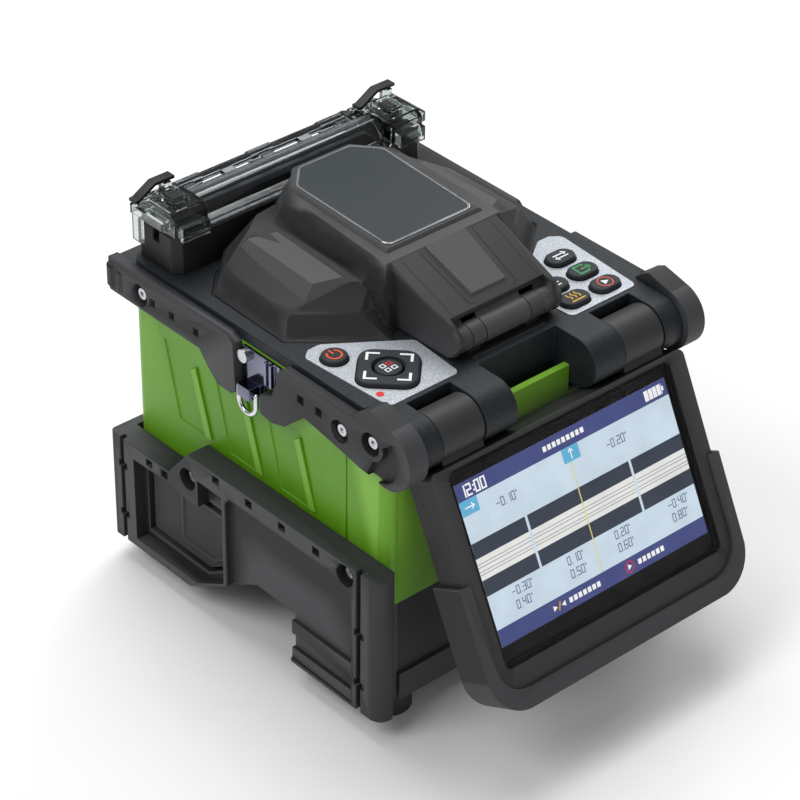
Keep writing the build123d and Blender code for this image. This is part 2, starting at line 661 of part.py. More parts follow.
with BuildPart() as screen_bezel:
    screen_slab(SCREEN_HALF, SCREEN_TOP, SCREEN_BOTTOM, BEZEL_BACK, BEZEL_FRONT, 13, 3)
    seat_top = GLASS_TOP + GAP
    seat_bottom = glass_bottom - GAP
    glass_seat = GLASS_FRONT - GLASS_T
    screen_slab(half_glass + GAP, seat_top, seat_bottom, glass_seat, BEZEL_FRONT + 1, 3, 3, Mode.SUBTRACT)
    screen_slab(48.6, GLASS_TOP - 2, glass_bottom + 2, glass_seat - 2, GLASS_FRONT, 1, 1, Mode.SUBTRACT)
    lcd_half = LCD_W / 2 + GAP
    lcd_top = LCD_Y + LCD_H / 2
    lcd_low = LCD_Y - LCD_H / 2
    screen_slab(lcd_half, lcd_top + GAP, lcd_low - GAP, BEZEL_BACK - 1, LCD_FACE + 0.1, 1, 1, Mode.SUBTRACT)
save(screen_bezel, "screen_bezel")

with BuildPart() as screen_glass:
    screen_slab(half_glass, GLASS_TOP, glass_bottom, GLASS_FRONT - GLASS_T, GLASS_FRONT, 2.8, 2.8)
save(screen_glass, "screen_glass")

with BuildPart() as lcd_panel:
    screen_slab(LCD_W / 2, lcd_top, lcd_low, BEZEL_BACK, LCD_FACE, 1, 1)
save(lcd_panel, "lcd_panel")

with BuildPart() as screen_back:
    screen_slab(SCREEN_HALF, SCREEN_TOP, SCREEN_BOTTOM, BACK_FACE, BEZEL_BACK, 13, 3)
    rim = 3.0
    pan = (SCREEN_HALF - rim, SCREEN_TOP - rim, SCREEN_BOTTOM + rim)
    screen_slab(*pan, BEZEL_BACK - 2, BEZEL_BACK, 10, 1, Mode.SUBTRACT)
    screen_block((-20, 20), (LCD_Y - 20, LCD_Y + 20), (BEZEL_BACK - 2.1, BEZEL_BACK))
    for side in SIDES.values():
        span = (side * KNUCKLE_INNER, side * KNUCKLE_OUTER)
        screen_block(span, (SCREEN_TOP + 0.1, 0), (BACK_FACE, GLASS_FRONT - 0.3))
        screen_block(span, (SCREEN_TOP - 1.5, SCREEN_TOP + 0.2), (BACK_FACE, BEZEL_BACK))
        rod_x(HINGE_Y, HINGE_Z, KNUCKLE_R, *span)
        rod_x(HINGE_Y, HINGE_Z, PIN_R + RUNNING, *span, Mode.SUBTRACT)
save(screen_back, "screen_back")

GUARD_TOP = -48.0
GUARD_LIP = 2.6
with BuildPart() as screen_guard:
    screen_slab(SCREEN_HALF + 2.2, GUARD_TOP, SCREEN_BOTTOM - 2.8, BACK_FACE - 1.2, BEZEL_FRONT + 1.2, 15)
    screen_slab(SCREEN_HALF, SCREEN_TOP, SCREEN_BOTTOM, BACK_FACE, BEZEL_FRONT, 13, 3, Mode.SUBTRACT)
    lip_half = SCREEN_HALF - GUARD_LIP
    for z_from, z_to in ((BEZEL_FRONT - 0.1, BEZEL_FRONT + 2), (BACK_FACE - 2, BACK_FACE + 0.1)):
        screen_slab(lip_half, SCREEN_TOP, SCREEN_BOTTOM + 4, z_from, z_to, 11, 3, Mode.SUBTRACT)
save(screen_guard, "screen_guard")

with BuildPart() as screen_hinge_pins:
    for side in SIDES.values():
        rod_x(HINGE_Y, HINGE_Z, PIN_R, side * PIN_INNER, side * (BARREL_END - 1))
save(screen_hinge_pins, "screen_hinge_pins")

# ---------------------------------------------------------------- wind cover

ARM_HALF = 23.2
ARM_CHEEK = ARM_HALF - 2.4
ARM_LIP = -27.4
ARM_SLOPE = 0.397
UPRIGHT_INNER = 10.0
UPRIGHT_OUTER = 15.6
HOOD_Z = 146.7
HOOD_START = 5.5
HOOD_TILT = 2.54
COVER_Z = SEAT_Z + 0.4
wing_outer = [
    (COVER_Z, [(45.4, 60.9), (55.7, 50.7), (56.4, 13.3), (29.9, -9.7), (22.5, -3.5)]),
    (129.5, [(43.5, 60.3), (51.5, 51), (51.8, 17), (34, 1), (22.5, 0)]),
    (139.3, [(29, 60), (36, 55), (31, 9.5), (26, 6), (22, 5)]),
]
wing_inner = [
    (COVER_Z - 1, [(43.4, 58.7), (53.4, 49.7), (54.1, 14.3), (29.3, -6.8), (21, -0.5)]),
    (128.8, [(41.8, 58.1), (49.2, 50), (49.4, 17.9), (32.8, 3.6), (21, 2.5)]),
    (137.0, [(28.4, 57.8), (34.6, 53.8), (29.6, 11), (25.4, 8.6), (20.5, 7.5)]),
]
hood_outer = [
    (COVER_Z, [(20, 60.9), (29, 53), (26.4, -4.6)]),
    (138.5, [(20, 61.3), (29.2, 53), (27.8, -3.2)]),
    (151, [(12, 59.4), (22.6, 49.8), (24, -0.6)]),
]
hood_inner = [
    (COVER_Z - 1, [(19, 58.6), (26.6, 52), (24.2, -1.6)]),
    (138, [(19, 59), (26.8, 52), (25.4, -0.8)]),
    (151, [(11, 57.2), (20.2, 48.8), (21.4, 1.6)]),
]


def plan_loft(sections, mode=Mode.ADD):
    """Adds or cuts a faceted form through mirrored plan outlines at rising heights."""
    faces = []
    for z, outline in sections:
        with BuildSketch(Plane.XY.offset(z)) as section:
            with BuildLine():
                Polyline(*mirrored(outline), close=True)
            make_face()
        faces.append(section.sketch)
    loft(faces, ruled=True, mode=mode)


def hood_plane(depth):
    """The plane parallel to the hood's tilted top, a depth below it."""
    lean = radians(HOOD_TILT)
    return Plane((0, HOOD_START, HOOD_Z - depth), x_dir=(1, 0, 0), z_dir=(0, -sin(lean), cos(lean)))


arm_outer = [(8, 146.2), (-1.3, 146.2), (-31, 134.6), (-34, 131.6), (-34.5, 128.5), (-33, 124.7)]
arm_outer += [(-29.5, 123), (-8, 122.9), (-3.4, 122.9), (-3.4, 122.2), (8, 122.2)]
arm_top_in = 132.7
arm_inner = [(12, arm_top_in + ARM_SLOPE * 30.2), (-0.8, arm_top_in + ARM_SLOPE * 30.2)]
arm_inner += [(-30.6, arm_top_in + ARM_SLOPE * 0.4), (-36, arm_top_in - ARM_SLOPE * 5), (-36, 120), (12, 120)]
arm_web = [(-29.5, 131), (-26, 135.8), (-18, 138.8), (-22, 132), (-26, 125.2), (-29.5, 124.5)]

with BuildPart() as hood_space:
    plan_loft(hood_inner)
    split(bisect_by=hood_plane(COVER_SKIN), keep=Keep.BOTTOM)

with BuildPart() as wind_cover:
    plan_loft(hood_outer)
    split(bisect_by=hood_plane(0), keep=Keep.BOTTOM)
    plan_loft(wing_outer)
    side_slab(arm_outer, -ARM_HALF, ARM_HALF)
    plan_loft(wing_inner, Mode.SUBTRACT)
    add(hood_space.part, mode=Mode.SUBTRACT)
    side_slab(arm_inner, -ARM_CHEEK, ARM_CHEEK, Mode.SUBTRACT)
    block((-ARM_CHEEK, ARM_CHEEK), (-36, ARM_LIP), (122, 138), mode=Mode.SUBTRACT)
    barrel_spans = [(-UPRIGHT_INNER + 0.4, UPRIGHT_INNER - 0.4)]
    barrel_spans += [(side * (UPRIGHT_OUTER + 0.4), side * (ARM_HALF - 2.3)) for side in SIDES.values()]
    for span in barrel_spans:
        rod_x(COVER_PIN_Y, COVER_PIN_Z, COVER_BARREL_R, *span)
        side_slab(arm_web, *span)
    rod_x(COVER_PIN_Y, COVER_PIN_Z, COVER_PIN_R + RUNNING, -ARM_HALF + 1, ARM_HALF - 1, Mode.SUBTRACT)
save(wind_cover, "wind_cover")

plate_outline = [(18.3, 0), (18.8, 45), (11.2, 53)]
with BuildPart() as cover_trim:
    with BuildSketch(hood_plane(0)) as trim_plan:
        with BuildLine():
            Polyline(*mirrored(plate_outline), close=True)
        make_face()
        fillet(trim_plan.vertices(), 2.5)
        offset(amount=0.9)
    extrude(trim_plan.sketch, amount=1.4)
    with BuildSketch(hood_plane(0)) as plate_plan:
        with BuildLine():
            Polyline(*mirrored(plate_outline), close=True)
        make_face()
        fillet(plate_plan.vertices(), 2.5)
    extrude(plate_plan.sketch, amount=2, mode=Mode.SUBTRACT)
save(cover_trim, "cover_trim")

with BuildPart() as cover_plate:
    extrude(plate_plan.sketch, amount=1.3)
save(cover_plate, "cover_plate")

with BuildPart() as cover_bracket:
    block((-BRACKET_HALF, BRACKET_HALF), (-34.5, -24.5), (119.3, DECK_TOP))
    for side in SIDES.values():
        span = (side * UPRIGHT_INNER, side * UPRIGHT_OUTER)
        block(span, (-31.2, -26), (DECK_TOP - 1, COVER_PIN_Z))
        rod_x(COVER_PIN_Y, COVER_PIN_Z, COVER_BARREL_R, *span)
        rod_x(COVER_PIN_Y, COVER_PIN_Z, COVER_PIN_R, *span, Mode.SUBTRACT)
save(cover_bracket, "cover_bracket")

with BuildPart() as cover_hinge_pin:
    rod_x(COVER_PIN_Y, COVER_PIN_Z, COVER_PIN_R, -ARM_HALF + 1.6, ARM_HALF - 1.6)
save(cover_hinge_pin, "cover_hinge_pin")

# ---------------------------------------------------------------- sleeve heater

def end_x(side, x):
    """An x measured out from the middle towards one end of the heater, whose right end is the shorter."""
    return side * x - (RIGHT_TRIM if side > 0 else 0)


CHANNEL_FRONT = 71.0
CHANNEL_REAR = 83.0
TROUGH_HALF = 44.0
lug_spans = [(41.0, 43.2), (49.4, 51.6)]
lug_outline = [(84.6, 136.2), (84.6, 138.6), (87.4, 141.4), (90.0, 141.9), (92.2, 141.0)]
lug_outline += [(92.3, 138.0), (90.6, 136.8), (87.2, 132.8), (86, 132.8)]
LID_BARREL_R = 2.2
LID_BORE_R = LID_PIN_R + RUNNING

with BuildPart() as heater_base:
    block((-HEATER_HALF, HEATER_HALF - RIGHT_TRIM), (HEATER_FRONT, HEATER_REAR), (DECK_TOP, HEATER_TOP))
    chamfer(heater_base.edges().filter_by(Axis.Z).group_by(Axis.Y)[0], 3)
    fillet(heater_base.edges().filter_by(Axis.Z).group_by(Axis.Y)[-1], 2)
    channel = (CHANNEL_FRONT, CHANNEL_REAR)
    block((-TROUGH_HALF, TROUGH_HALF - RIGHT_TRIM), channel, (128, HEATER_TOP + 1), mode=Mode.SUBTRACT)
    block((-HEATER_HALF - 1, HEATER_HALF + 1), (75.4, 78.6), (132, HEATER_TOP + 1), mode=Mode.SUBTRACT)
    for side in SIDES.values():
        pocket = (end_x(side, 46), end_x(side, 56))
        block(pocket, (73, 81), (132, HEATER_TOP + 1), mode=Mode.SUBTRACT)
        for inner, outer in lug_spans:
            lug = (end_x(side, inner), end_x(side, outer))
            side_slab(lug_outline, *lug)
            rod_x(LID_PIN_Y, LID_PIN_Z, LID_PIN_R, *lug, Mode.SUBTRACT)
save(heater_base, "heater_base")

trough_outer = (CHANNEL_FRONT + GAP, CHANNEL_REAR - GAP)
with BuildPart() as heater_trough:
    block((-TROUGH_HALF + GAP, TROUGH_HALF - GAP - RIGHT_TRIM), trough_outer, (128, 136))
    bed = (CHANNEL_FRONT + 2.5, CHANNEL_REAR - 2.5)
    block((-TROUGH_HALF, TROUGH_HALF), bed, (130, 137), mode=Mode.SUBTRACT)
save(heater_trough, "heater_trough")

with BuildPart() as heater_hinge_pin:
    rod_x(LID_PIN_Y, LID_PIN_Z, LID_PIN_R, -57.5, 57.5 - RIGHT_TRIM)
save(heater_hinge_pin, "heater_hinge_pin")

lid_outline = [(66.8, 137.0), (66.8, 139.2), (69.6, 139.6), (71.2, 142.6), (74.4, 144.6), (78.6, 144.8)]
lid_outline += [(81.8, 143.2), (83.4, 141.4), (83.4, 139.9), (80.9, 141.8), (78.0, 143.3), (75.0, 143.1)]
lid_outline += [(72.6, 141.4), (70.9, 138.4), (70.9, 137.0)]
flange_outline = [(82.6, 139.9), (82.6, 141.4), (90.0, 141.8), (90.0, 139.9)]
FLANGE_HALF = 40.4
lid_barrels = [(-40.4, -30), (-8.3, 1.7), (30 - RIGHT_TRIM, FLANGE_HALF - RIGHT_TRIM)]
with BuildPart() as heater_lid:
    side_slab(lid_outline, -LID_HALF, LID_HALF - RIGHT_TRIM)
    for side in SIDES.values():
        end_wall = [(67.2, 137), (67.2, 139.2), (70, 139.6), (71.5, 142.4), (74.6, 144.2), (78.4, 144.4)]
        end_wall += [(81.6, 142.8), (83.0, 141.2), (83.0, 137)]
        side_slab(end_wall, end_x(side, LID_HALF - 1.4), end_x(side, LID_HALF))
    side_slab(flange_outline, -FLANGE_HALF, FLANGE_HALF - RIGHT_TRIM)
    for window_x in (-29, -12, 5, 22):
        block((window_x - 6, window_x + 6), (84.2, 87.0), (139, 142.5), mode=Mode.SUBTRACT)
    for low, high in lid_barrels:
        rod_x(LID_PIN_Y, LID_PIN_Z, LID_BARREL_R, low, high)
    rod_x(LID_PIN_Y, LID_PIN_Z, LID_BORE_R, -FLANGE_HALF, FLANGE_HALF, Mode.SUBTRACT)
save(heater_lid, "heater_lid")

CLAMP_INNER = 44.4
CLAMP_TOP = 146.0
CLAMP_UNDER = 137.0
CLAMP_WALL = 1.3
clamp_outline = [(67.0, CLAMP_UNDER), (67.0, 143.6), (69.4, CLAMP_TOP), (81.6, CLAMP_TOP), (84, 143.6)]
clamp_outline += [(84, CLAMP_UNDER)]
clamp_inside = [(68.3, 136), (68.3, 143.1), (69.9, 144.7), (81.1, 144.7), (82.7, 143.1), (82.7, 136)]
clamp_web = [(83.6, 139.6), (83.6, 143.2), (87.6, 142.4), (90.0, 141.8), (90.0, 139.6)]
clamp_barrels = [(45.0, 49.0), (52.0, 57.0)]
SKIRT_LOW = 136.0
POST_TOP = 147.8
STRAP_T = 1.2
strap_line = [(-7.6, POST_TOP), (0.4, POST_TOP), (7.4, POST_TOP - 4), (9.2, POST_TOP - 4)]
strap_line += [(9.2, POST_TOP - 4 + STRAP_T), (7.7, POST_TOP - 4 + STRAP_T), (0.7, POST_TOP + STRAP_T)]
strap_line += [(-7.6, POST_TOP + STRAP_T)]
STRAP_X = {"left": -52.4, "right": 53.3 - RIGHT_TRIM}

for side_name, side in SIDES.items():
    with BuildPart() as heater_clamp:
        side_slab(clamp_outline, end_x(side, CLAMP_INNER), end_x(side, CLAMP_OUTER))
        inside = (end_x(side, CLAMP_INNER + CLAMP_WALL), end_x(side, CLAMP_OUTER - CLAMP_WALL))
        side_slab(clamp_inside, *inside, Mode.SUBTRACT)
        block((end_x(side, 49.5), end_x(side, 53.5)), (74.8, 79.2), (134.5, CLAMP_TOP - 0.5))
        block((end_x(side, 47.5), end_x(side, 55.5)), (72, 82), (CLAMP_TOP - 0.5, CLAMP_TOP + 1.2), 1.5)
        cap_recess = (end_x(side, 49), end_x(side, 54))
        block(cap_recess, (73.5, 80.5), (CLAMP_TOP + 0.2, CLAMP_TOP + 2), 0.8, Mode.SUBTRACT)
        block((end_x(side, 46), end_x(side, 57.4)), (64.0, 65.6), (SKIRT_LOW, 141.5))
        block((end_x(side, 46), end_x(side, 57.4)), (65.2, 67.4), (137.2, 141.5))
        block((end_x(side, 47.6), end_x(side, 55.8)), (63, 64.6), (SKIRT_LOW + 1.6, 140), mode=Mode.SUBTRACT)
        for low, high in clamp_barrels:
            side_slab(clamp_web, end_x(side, low), end_x(side, high))
            rod_x(LID_PIN_Y, LID_PIN_Z, LID_BARREL_R, end_x(side, low), end_x(side, high))
        rod_x(LID_PIN_Y, LID_PIN_Z, LID_BORE_R, end_x(side, 44.4), end_x(side, 58), Mode.SUBTRACT)
        block((end_x(side, CLAMP_OUTER - 0.1), end_x(side, 62.4)), (68.5, 87.5), (140.2, 143.2), 1.6)
        block((end_x(side, CLAMP_OUTER + 0.4), end_x(side, 61.0)), (70, 86), (139, 144), mode=Mode.SUBTRACT)
        block((end_x(side, CLAMP_OUTER - 3), end_x(side, CLAMP_OUTER + 0.6)), (83, 87.2), (140.4, 143))
        block((end_x(side, 61.2), end_x(side, 62.4)), (80.5, 85.5), (130.4, 141))
        post_x = STRAP_X[side_name] + 2.4
        block((post_x, post_x + 3.2), (83.2, 86.6), (142.2, POST_TOP))
    save(heater_clamp, f"heater_clamp_{side_name}")

    with BuildPart() as heater_strap:
        with BuildSketch(Plane.XZ.offset(-88.0)) as strap_profile:
            with BuildLine():
                Polyline(*[(STRAP_X[side_name] - x, z) for x, z in strap_line], close=True)
            make_face()
        extrude(strap_profile.sketch, amount=3.8)
    save(heater_strap, f"heater_strap_{side_name}")

# ---------------------------------------------------------------- splice well

FLANGE_T = 3.5
CHASSIS_UNDER = 96.0
STAGE_TOP = 112.0
CLAMP_HINGE_Y = 38.6
CLAMP_HINGE_Z = 113.6
TRUNNION_R = 0.8

with BuildPart() as splice_chassis:
    block((-WELL_HALF, WELL_HALF), (WELL_FRONT, WELL_REAR), (CHASSIS_UNDER, DECK_UNDER), 2)
    wide = WELL_HALF + 4
    block((-wide, wide), (WELL_FRONT - 3.5, WELL_REAR + 3.5), (DECK_UNDER - FLANGE_T, DECK_UNDER), 3)
    cavity = WELL_HALF - WALL
    cavity_y = (WELL_FRONT + WALL, WELL_REAR - WALL)
    block((-cavity, cavity), cavity_y, (CHASSIS_FLOOR, DECK_UNDER + 1), 2, Mode.SUBTRACT)
save(splice_chassis, "splice_chassis")

with BuildPart() as v_groove_block:
    block((-5, 5), (20, 36), (CHASSIS_FLOOR, 113))
    block((-1.6, 1.6), (19, 37), (109, 114), mode=Mode.SUBTRACT)
    groove = [(FIBRE_Y - 0.8, 113.1), (FIBRE_Y, 112), (FIBRE_Y + 0.8, 113.1)]
    side_slab(groove, -6, 6, Mode.SUBTRACT)
save(v_groove_block, "v_groove_block")

with BuildPart() as electrode_holders:
    for low, high in ((10, 18), (38, 46)):
        block((-5, 5), (low, high), (CHASSIS_FLOOR, 117), 1)
        rod_y(0, 114.5, 1, low - 1, high + 1, Mode.SUBTRACT)
save(electrode_holders, "electrode_holders")

with BuildPart() as electrodes:
    for back, tip in ((9.5, 26.8), (46.5, 29.2)):
        inward = 1 if tip > back else -1
        shank_end = tip - inward * 3
        rod_y(0, 114.5, 1, min(back, shank_end), max(back, shank_end))
        with BuildSketch(Plane((0, shank_end, 114.5), z_dir=(0, inward, 0))) as shank:
            Circle(1)
        with BuildSketch(Plane((0, tip, 114.5), z_dir=(0, inward, 0))) as point:
            Circle(0.12)
        loft([shank.sketch, point.sketch])
save(electrodes, "electrodes")

with BuildPart() as microscope_tubes:
    for tube_y in (16, 40):
        rod_z(0, tube_y, 5, 66, CHASSIS_UNDER)
        rod_z(0, tube_y, 6.5, 76, 82)
    block((-8, 8), (8, 48), (62, 66), 1)
save(microscope_tubes, "microscope_tubes")

for side_name, side in SIDES.items():
    with BuildPart() as fiber_stage:
        block((side * 14, side * 32), (18, 36.4), (CHASSIS_FLOOR + 0.4, STAGE_TOP))
        slot = (FIBRE_Y - 1.2, FIBRE_Y + 1.2)
        block((side * 13, side * 33), slot, (STAGE_TOP - 0.8, 113), mode=Mode.SUBTRACT)
        for inner, outer in ((14.4, 17), (29, 31.6)):
            lug = (CLAMP_HINGE_Y - 4, CLAMP_HINGE_Y + 1.9)
            block((side * inner, side * outer), lug, (CHASSIS_FLOOR + 0.4, CLAMP_HINGE_Z))
            rod_x(CLAMP_HINGE_Y, CLAMP_HINGE_Z, 1.9, side * inner, side * outer)
            bore = TRUNNION_R + RUNNING
            rod_x(CLAMP_HINGE_Y, CLAMP_HINGE_Z, bore, side * inner, side * outer, Mode.SUBTRACT)
    save(fiber_stage, f"fiber_stage_{side_name}")

    with BuildPart() as sheath_clamp:
        block((side * 17.5, side * 28.5), (19, CLAMP_HINGE_Y), (STAGE_TOP + 0.4, 114.8))
        rod_x(CLAMP_HINGE_Y, CLAMP_HINGE_Z, 1.2, side * 17.5, side * 28.5)
        rod_x(CLAMP_HINGE_Y, CLAMP_HINGE_Z, TRUNNION_R, side * 14.6, side * 31.4)
        block((side * 19, side * 27), (20, 25), (114.7, 117), 1)
    save(sheath_clamp, f"sheath_clamp_{side_name}")

# ---------------------------------------------------------------- boards and battery

BOARD_T = 1.6
chips = [(-30, 60, 7, 1.6), (5, 62, 4.5, 1.4), (34, 40, 8, 5), (-34, 0, 6, 6)]
with BuildPart() as circuit_boards:
    block((-57, 57), (-41, 82.6), (BOARD_Z, BOARD_Z + BOARD_T), 3)
    board_top = BOARD_Z + BOARD_T
    for chip_x, chip_y, chip_half, chip_h in chips:
        chip_xs = (chip_x - chip_half, chip_x + chip_half)
        chip_ys = (chip_y - chip_half, chip_y + chip_half)
        block(chip_xs, chip_ys, (board_top - 0.1, board_top + chip_h))
    block((-30, 30), (-30, -28.4), (board_top - 0.1, 92))
    for side in SIDES.values():
        board_under = KEY_BOARD_Z - BOARD_T
        block((side * 26, side * 58.4), (-35.6, 2.6), (board_under, KEY_BOARD_Z), 1)
        block((side * 40, side * 46), (-22, -16), (board_under - 1.2, board_under + 0.1))
save(circuit_boards, "circuit_boards")

latch_outline = [(58.6, 43.6), (58.6, 21), (40.5, 21), (33.6, 25.4), (33.6, 43.6)]
latch_pocket = [(59, 44), (59, 20.6), (40.4, 20.6), (33.2, 25.2), (33.2, 44)]
LATCH_OUT = 1.6
LATCH_T = 3.0
with BuildPart() as battery_pack:
    side_slab(battery_profile, BATTERY_FACE, BATTERY_END)
    side_slab(latch_pocket, BATTERY_FACE - 1, BATTERY_FACE + LATCH_T + 0.6, Mode.SUBTRACT)
save(battery_pack, "battery_pack")

with BuildPart() as battery_latch:
    latch_face = BATTERY_FACE - LATCH_OUT
    side_slab(latch_outline, latch_face, latch_face + LATCH_T)
    thumb_rest = [(57, 41.8), (57, 22.6), (41, 22.6), (36.4, 25.6), (36.4, 41.8)]
    side_slab(thumb_rest, latch_face - 1, latch_face + 0.5, Mode.SUBTRACT)
save(battery_latch, "battery_latch")
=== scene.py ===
import json
from math import cos, pi, radians, sin

import bmesh
import bpy
from mathutils import Matrix, Vector
from mathutils.bvhtree import BVHTree


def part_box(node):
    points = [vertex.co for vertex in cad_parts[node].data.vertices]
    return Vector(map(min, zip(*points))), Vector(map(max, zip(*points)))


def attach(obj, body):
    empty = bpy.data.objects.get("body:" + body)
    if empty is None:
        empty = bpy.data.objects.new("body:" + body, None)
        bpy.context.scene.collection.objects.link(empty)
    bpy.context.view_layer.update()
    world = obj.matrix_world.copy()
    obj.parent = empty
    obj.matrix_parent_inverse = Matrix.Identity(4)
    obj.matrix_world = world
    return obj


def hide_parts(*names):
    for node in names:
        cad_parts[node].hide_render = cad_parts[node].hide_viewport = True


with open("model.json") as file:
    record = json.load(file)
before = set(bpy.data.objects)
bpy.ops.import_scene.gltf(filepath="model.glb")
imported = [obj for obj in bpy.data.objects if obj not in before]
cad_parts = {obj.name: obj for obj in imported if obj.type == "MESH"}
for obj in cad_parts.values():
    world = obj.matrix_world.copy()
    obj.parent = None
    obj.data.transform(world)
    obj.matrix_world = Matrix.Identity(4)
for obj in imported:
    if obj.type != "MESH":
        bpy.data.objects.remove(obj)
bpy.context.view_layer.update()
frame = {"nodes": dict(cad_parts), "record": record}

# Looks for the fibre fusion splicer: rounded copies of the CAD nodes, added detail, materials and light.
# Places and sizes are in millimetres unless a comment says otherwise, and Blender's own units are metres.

MM = 0.001
RECORD = frame["record"]
BODY_OF = {node: body for body, nodes in RECORD["behaviour"]["bodies"].items() for node in nodes}
SLOT_OF = {part["node"]: part["material_slot"] for part in RECORD["subparts"]}
SIDES = {"left": -1, "right": 1}


def box_of(node):
    """The lowest and highest corner of a CAD node."""
    low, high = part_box(node)
    return Vector(low) / MM, Vector(high) / MM


def joint_place(name):
    """The point that a hinge turns about."""
    joint = next(j for j in RECORD["behaviour"]["joints"] if j["name"] == name)
    return Vector(joint["pos_m"]) / MM


def add_object(name, data):
    """A new object in the scene."""
    made = bpy.data.objects.new(name, data)
    bpy.context.scene.collection.objects.link(made)
    return made


# ------------------------------------------------------------------ materials

LOOKS = {}
MIX_A, MIX_B, MIX_RESULT = 6, 7, 2  # the colour sockets of a Mix node
MOTTLE_SCALE = 28  # patches to the metre in moulded plastic
GRAIN_DEPTH = 0.0002  # metres
FLOW_DEPTH = 0.0004  # metres


def srgb(r, g, b):
    """Linear colour from 0-255 display values."""
    out = []
    for value in (r, g, b):
        v = value / 255
        out.append(v / 12.92 if v <= 0.04045 else ((v + 0.055) / 1.055) ** 2.4)
    return (*out, 1.0)


def shade(colour, share):
    """A darker colour, as a share of the one given."""
    return tuple(c * share for c in colour[:3]) + (1.0,)


def new_material(name):
    """A node material, kept under its name in LOOKS."""
    mat = bpy.data.materials.new(name)
    mat.use_nodes = True
    LOOKS[name] = mat
    return mat, mat.node_tree.nodes, mat.node_tree.links, mat.node_tree.nodes["Principled BSDF"]


def noise(nodes, links, scale, detail=3.0, rough=0.5):
    """A noise texture in the object's own metres."""
    coords = nodes.new("ShaderNodeTexCoord")
    tex = nodes.new("ShaderNodeTexNoise")
    tex.inputs["Scale"].default_value = scale
    tex.inputs["Detail"].default_value = detail
    tex.inputs["Roughness"].default_value = rough
    links.new(coords.outputs["Object"], tex.inputs["Vector"])
    return tex.outputs["Fac"]


def ramp(nodes, links, source, stops):
    """A colour ramp driven by a texture."""
    node = nodes.new("ShaderNodeValToRGB")
    elements = node.color_ramp.elements
    while len(elements) < len(stops):
        elements.new(0.5)
    for element, (place, colour) in zip(elements, stops):
        element.position = place
        element.color = colour
    links.new(source, node.inputs["Fac"])
    return node.outputs["Color"]


def spread(nodes, links, source, low, high):
    """A value between low and high, driven by a texture."""
    node = nodes.new("ShaderNodeMapRange")
    node.inputs["To Min"].default_value = low
    node.inputs["To Max"].default_value = high
    links.new(source, node.inputs["Value"])
    return node.outputs["Result"]


def relief(nodes, links, source, strength, depth):
    """A bump driven by a texture, to a depth in metres."""
    node = nodes.new("ShaderNodeBump")
    node.inputs["Strength"].default_value = strength
    node.inputs["Distance"].default_value = depth
    links.new(source, node.inputs["Height"])
    return node.outputs["Normal"]


def painted_edge_highlight(nodes, links, colour_out, edge_highlight):
    """Paints a highlight: blends a colour towards a lighter one on the raised edges."""
    geometry = nodes.new("ShaderNodeNewGeometry")
    edge = ramp(nodes, links, geometry.outputs["Pointiness"], [(0.52, (0, 0, 0, 1)), (0.6, (1, 1, 1, 1))])
    mix = nodes.new("ShaderNodeMix")
    mix.data_type = "RGBA"
    links.new(edge, mix.inputs["Factor"])
    links.new(colour_out, mix.inputs[MIX_A])
    mix.inputs[MIX_B].default_value = edge_highlight
    return mix.outputs[MIX_RESULT]


def moulded(name, dark, light, rough=(0.45, 0.6), grain=2600, bump=0.12, edge_highlight=None, gloss=0.3):
    """Moulded plastic or rubber: mottled colour, a fine grain and a painted highlight on the edges."""
    mat, nodes, links, bsdf = new_material(name)
    colour_out = ramp(nodes, links, noise(nodes, links, MOTTLE_SCALE, 5), [(0.3, dark), (0.7, light)])
    fine = noise(nodes, links, grain, 2, 0.6)
    # A painted highlight: a lighter colour on the raised edges
    if edge_highlight:
        colour_out = painted_edge_highlight(nodes, links, colour_out, edge_highlight)
    links.new(colour_out, bsdf.inputs["Base Color"])
    links.new(spread(nodes, links, fine, *rough), bsdf.inputs["Roughness"])
    links.new(relief(nodes, links, fine, bump, GRAIN_DEPTH), bsdf.inputs["Normal"])
    bsdf.inputs["Specular IOR Level"].default_value = gloss


def metal(name, colour, rough, grain=60, low=0.82):
    """Metal with uneven polish, its darkest patches a share of its colour."""
    mat, nodes, links, bsdf = new_material(name)
    patches = noise(nodes, links, grain, 4)
    base = ramp(nodes, links, patches, [(0.35, shade(colour, low)), (0.65, colour)])
    links.new(base, bsdf.inputs["Base Color"])
    links.new(spread(nodes, links, patches, rough * 0.7, rough * 1.3), bsdf.inputs["Roughness"])
    bsdf.inputs["Metallic"].default_value = 1.0


def clear(name, colour, rough, bend=1.5, flow=0.08):
    """Clear moulded plastic with faint flow marks, its refractive index given as bend."""
    mat, nodes, links, bsdf = new_material(name)
    marks = noise(nodes, links, 90, 3)
    base = ramp(nodes, links, marks, [(0.3, shade(colour, 0.9)), (0.7, colour)])
    links.new(base, bsdf.inputs["Base Color"])
    links.new(relief(nodes, links, marks, flow, FLOW_DEPTH), bsdf.inputs["Normal"])
    bsdf.inputs["Transmission Weight"].default_value = 1.0
    bsdf.inputs["IOR"].default_value = bend
    bsdf.inputs["Roughness"].default_value = rough


def lit(name, colour, strength, surface=(0.0, 0.0, 0.0, 1.0)):
    """A lit area of the screen, or a lit lens."""
    mat, nodes, links, bsdf = new_material(name)
    glow = ramp(nodes, links, noise(nodes, links, 40, 2), [(0.3, shade(colour, 0.97)), (0.7, colour)])
    links.new(glow, bsdf.inputs["Emission Color"])
    bsdf.inputs["Base Color"].default_value = surface
    bsdf.inputs["Emission Strength"].default_value = strength
    bsdf.inputs["Roughness"].default_value = 0.5


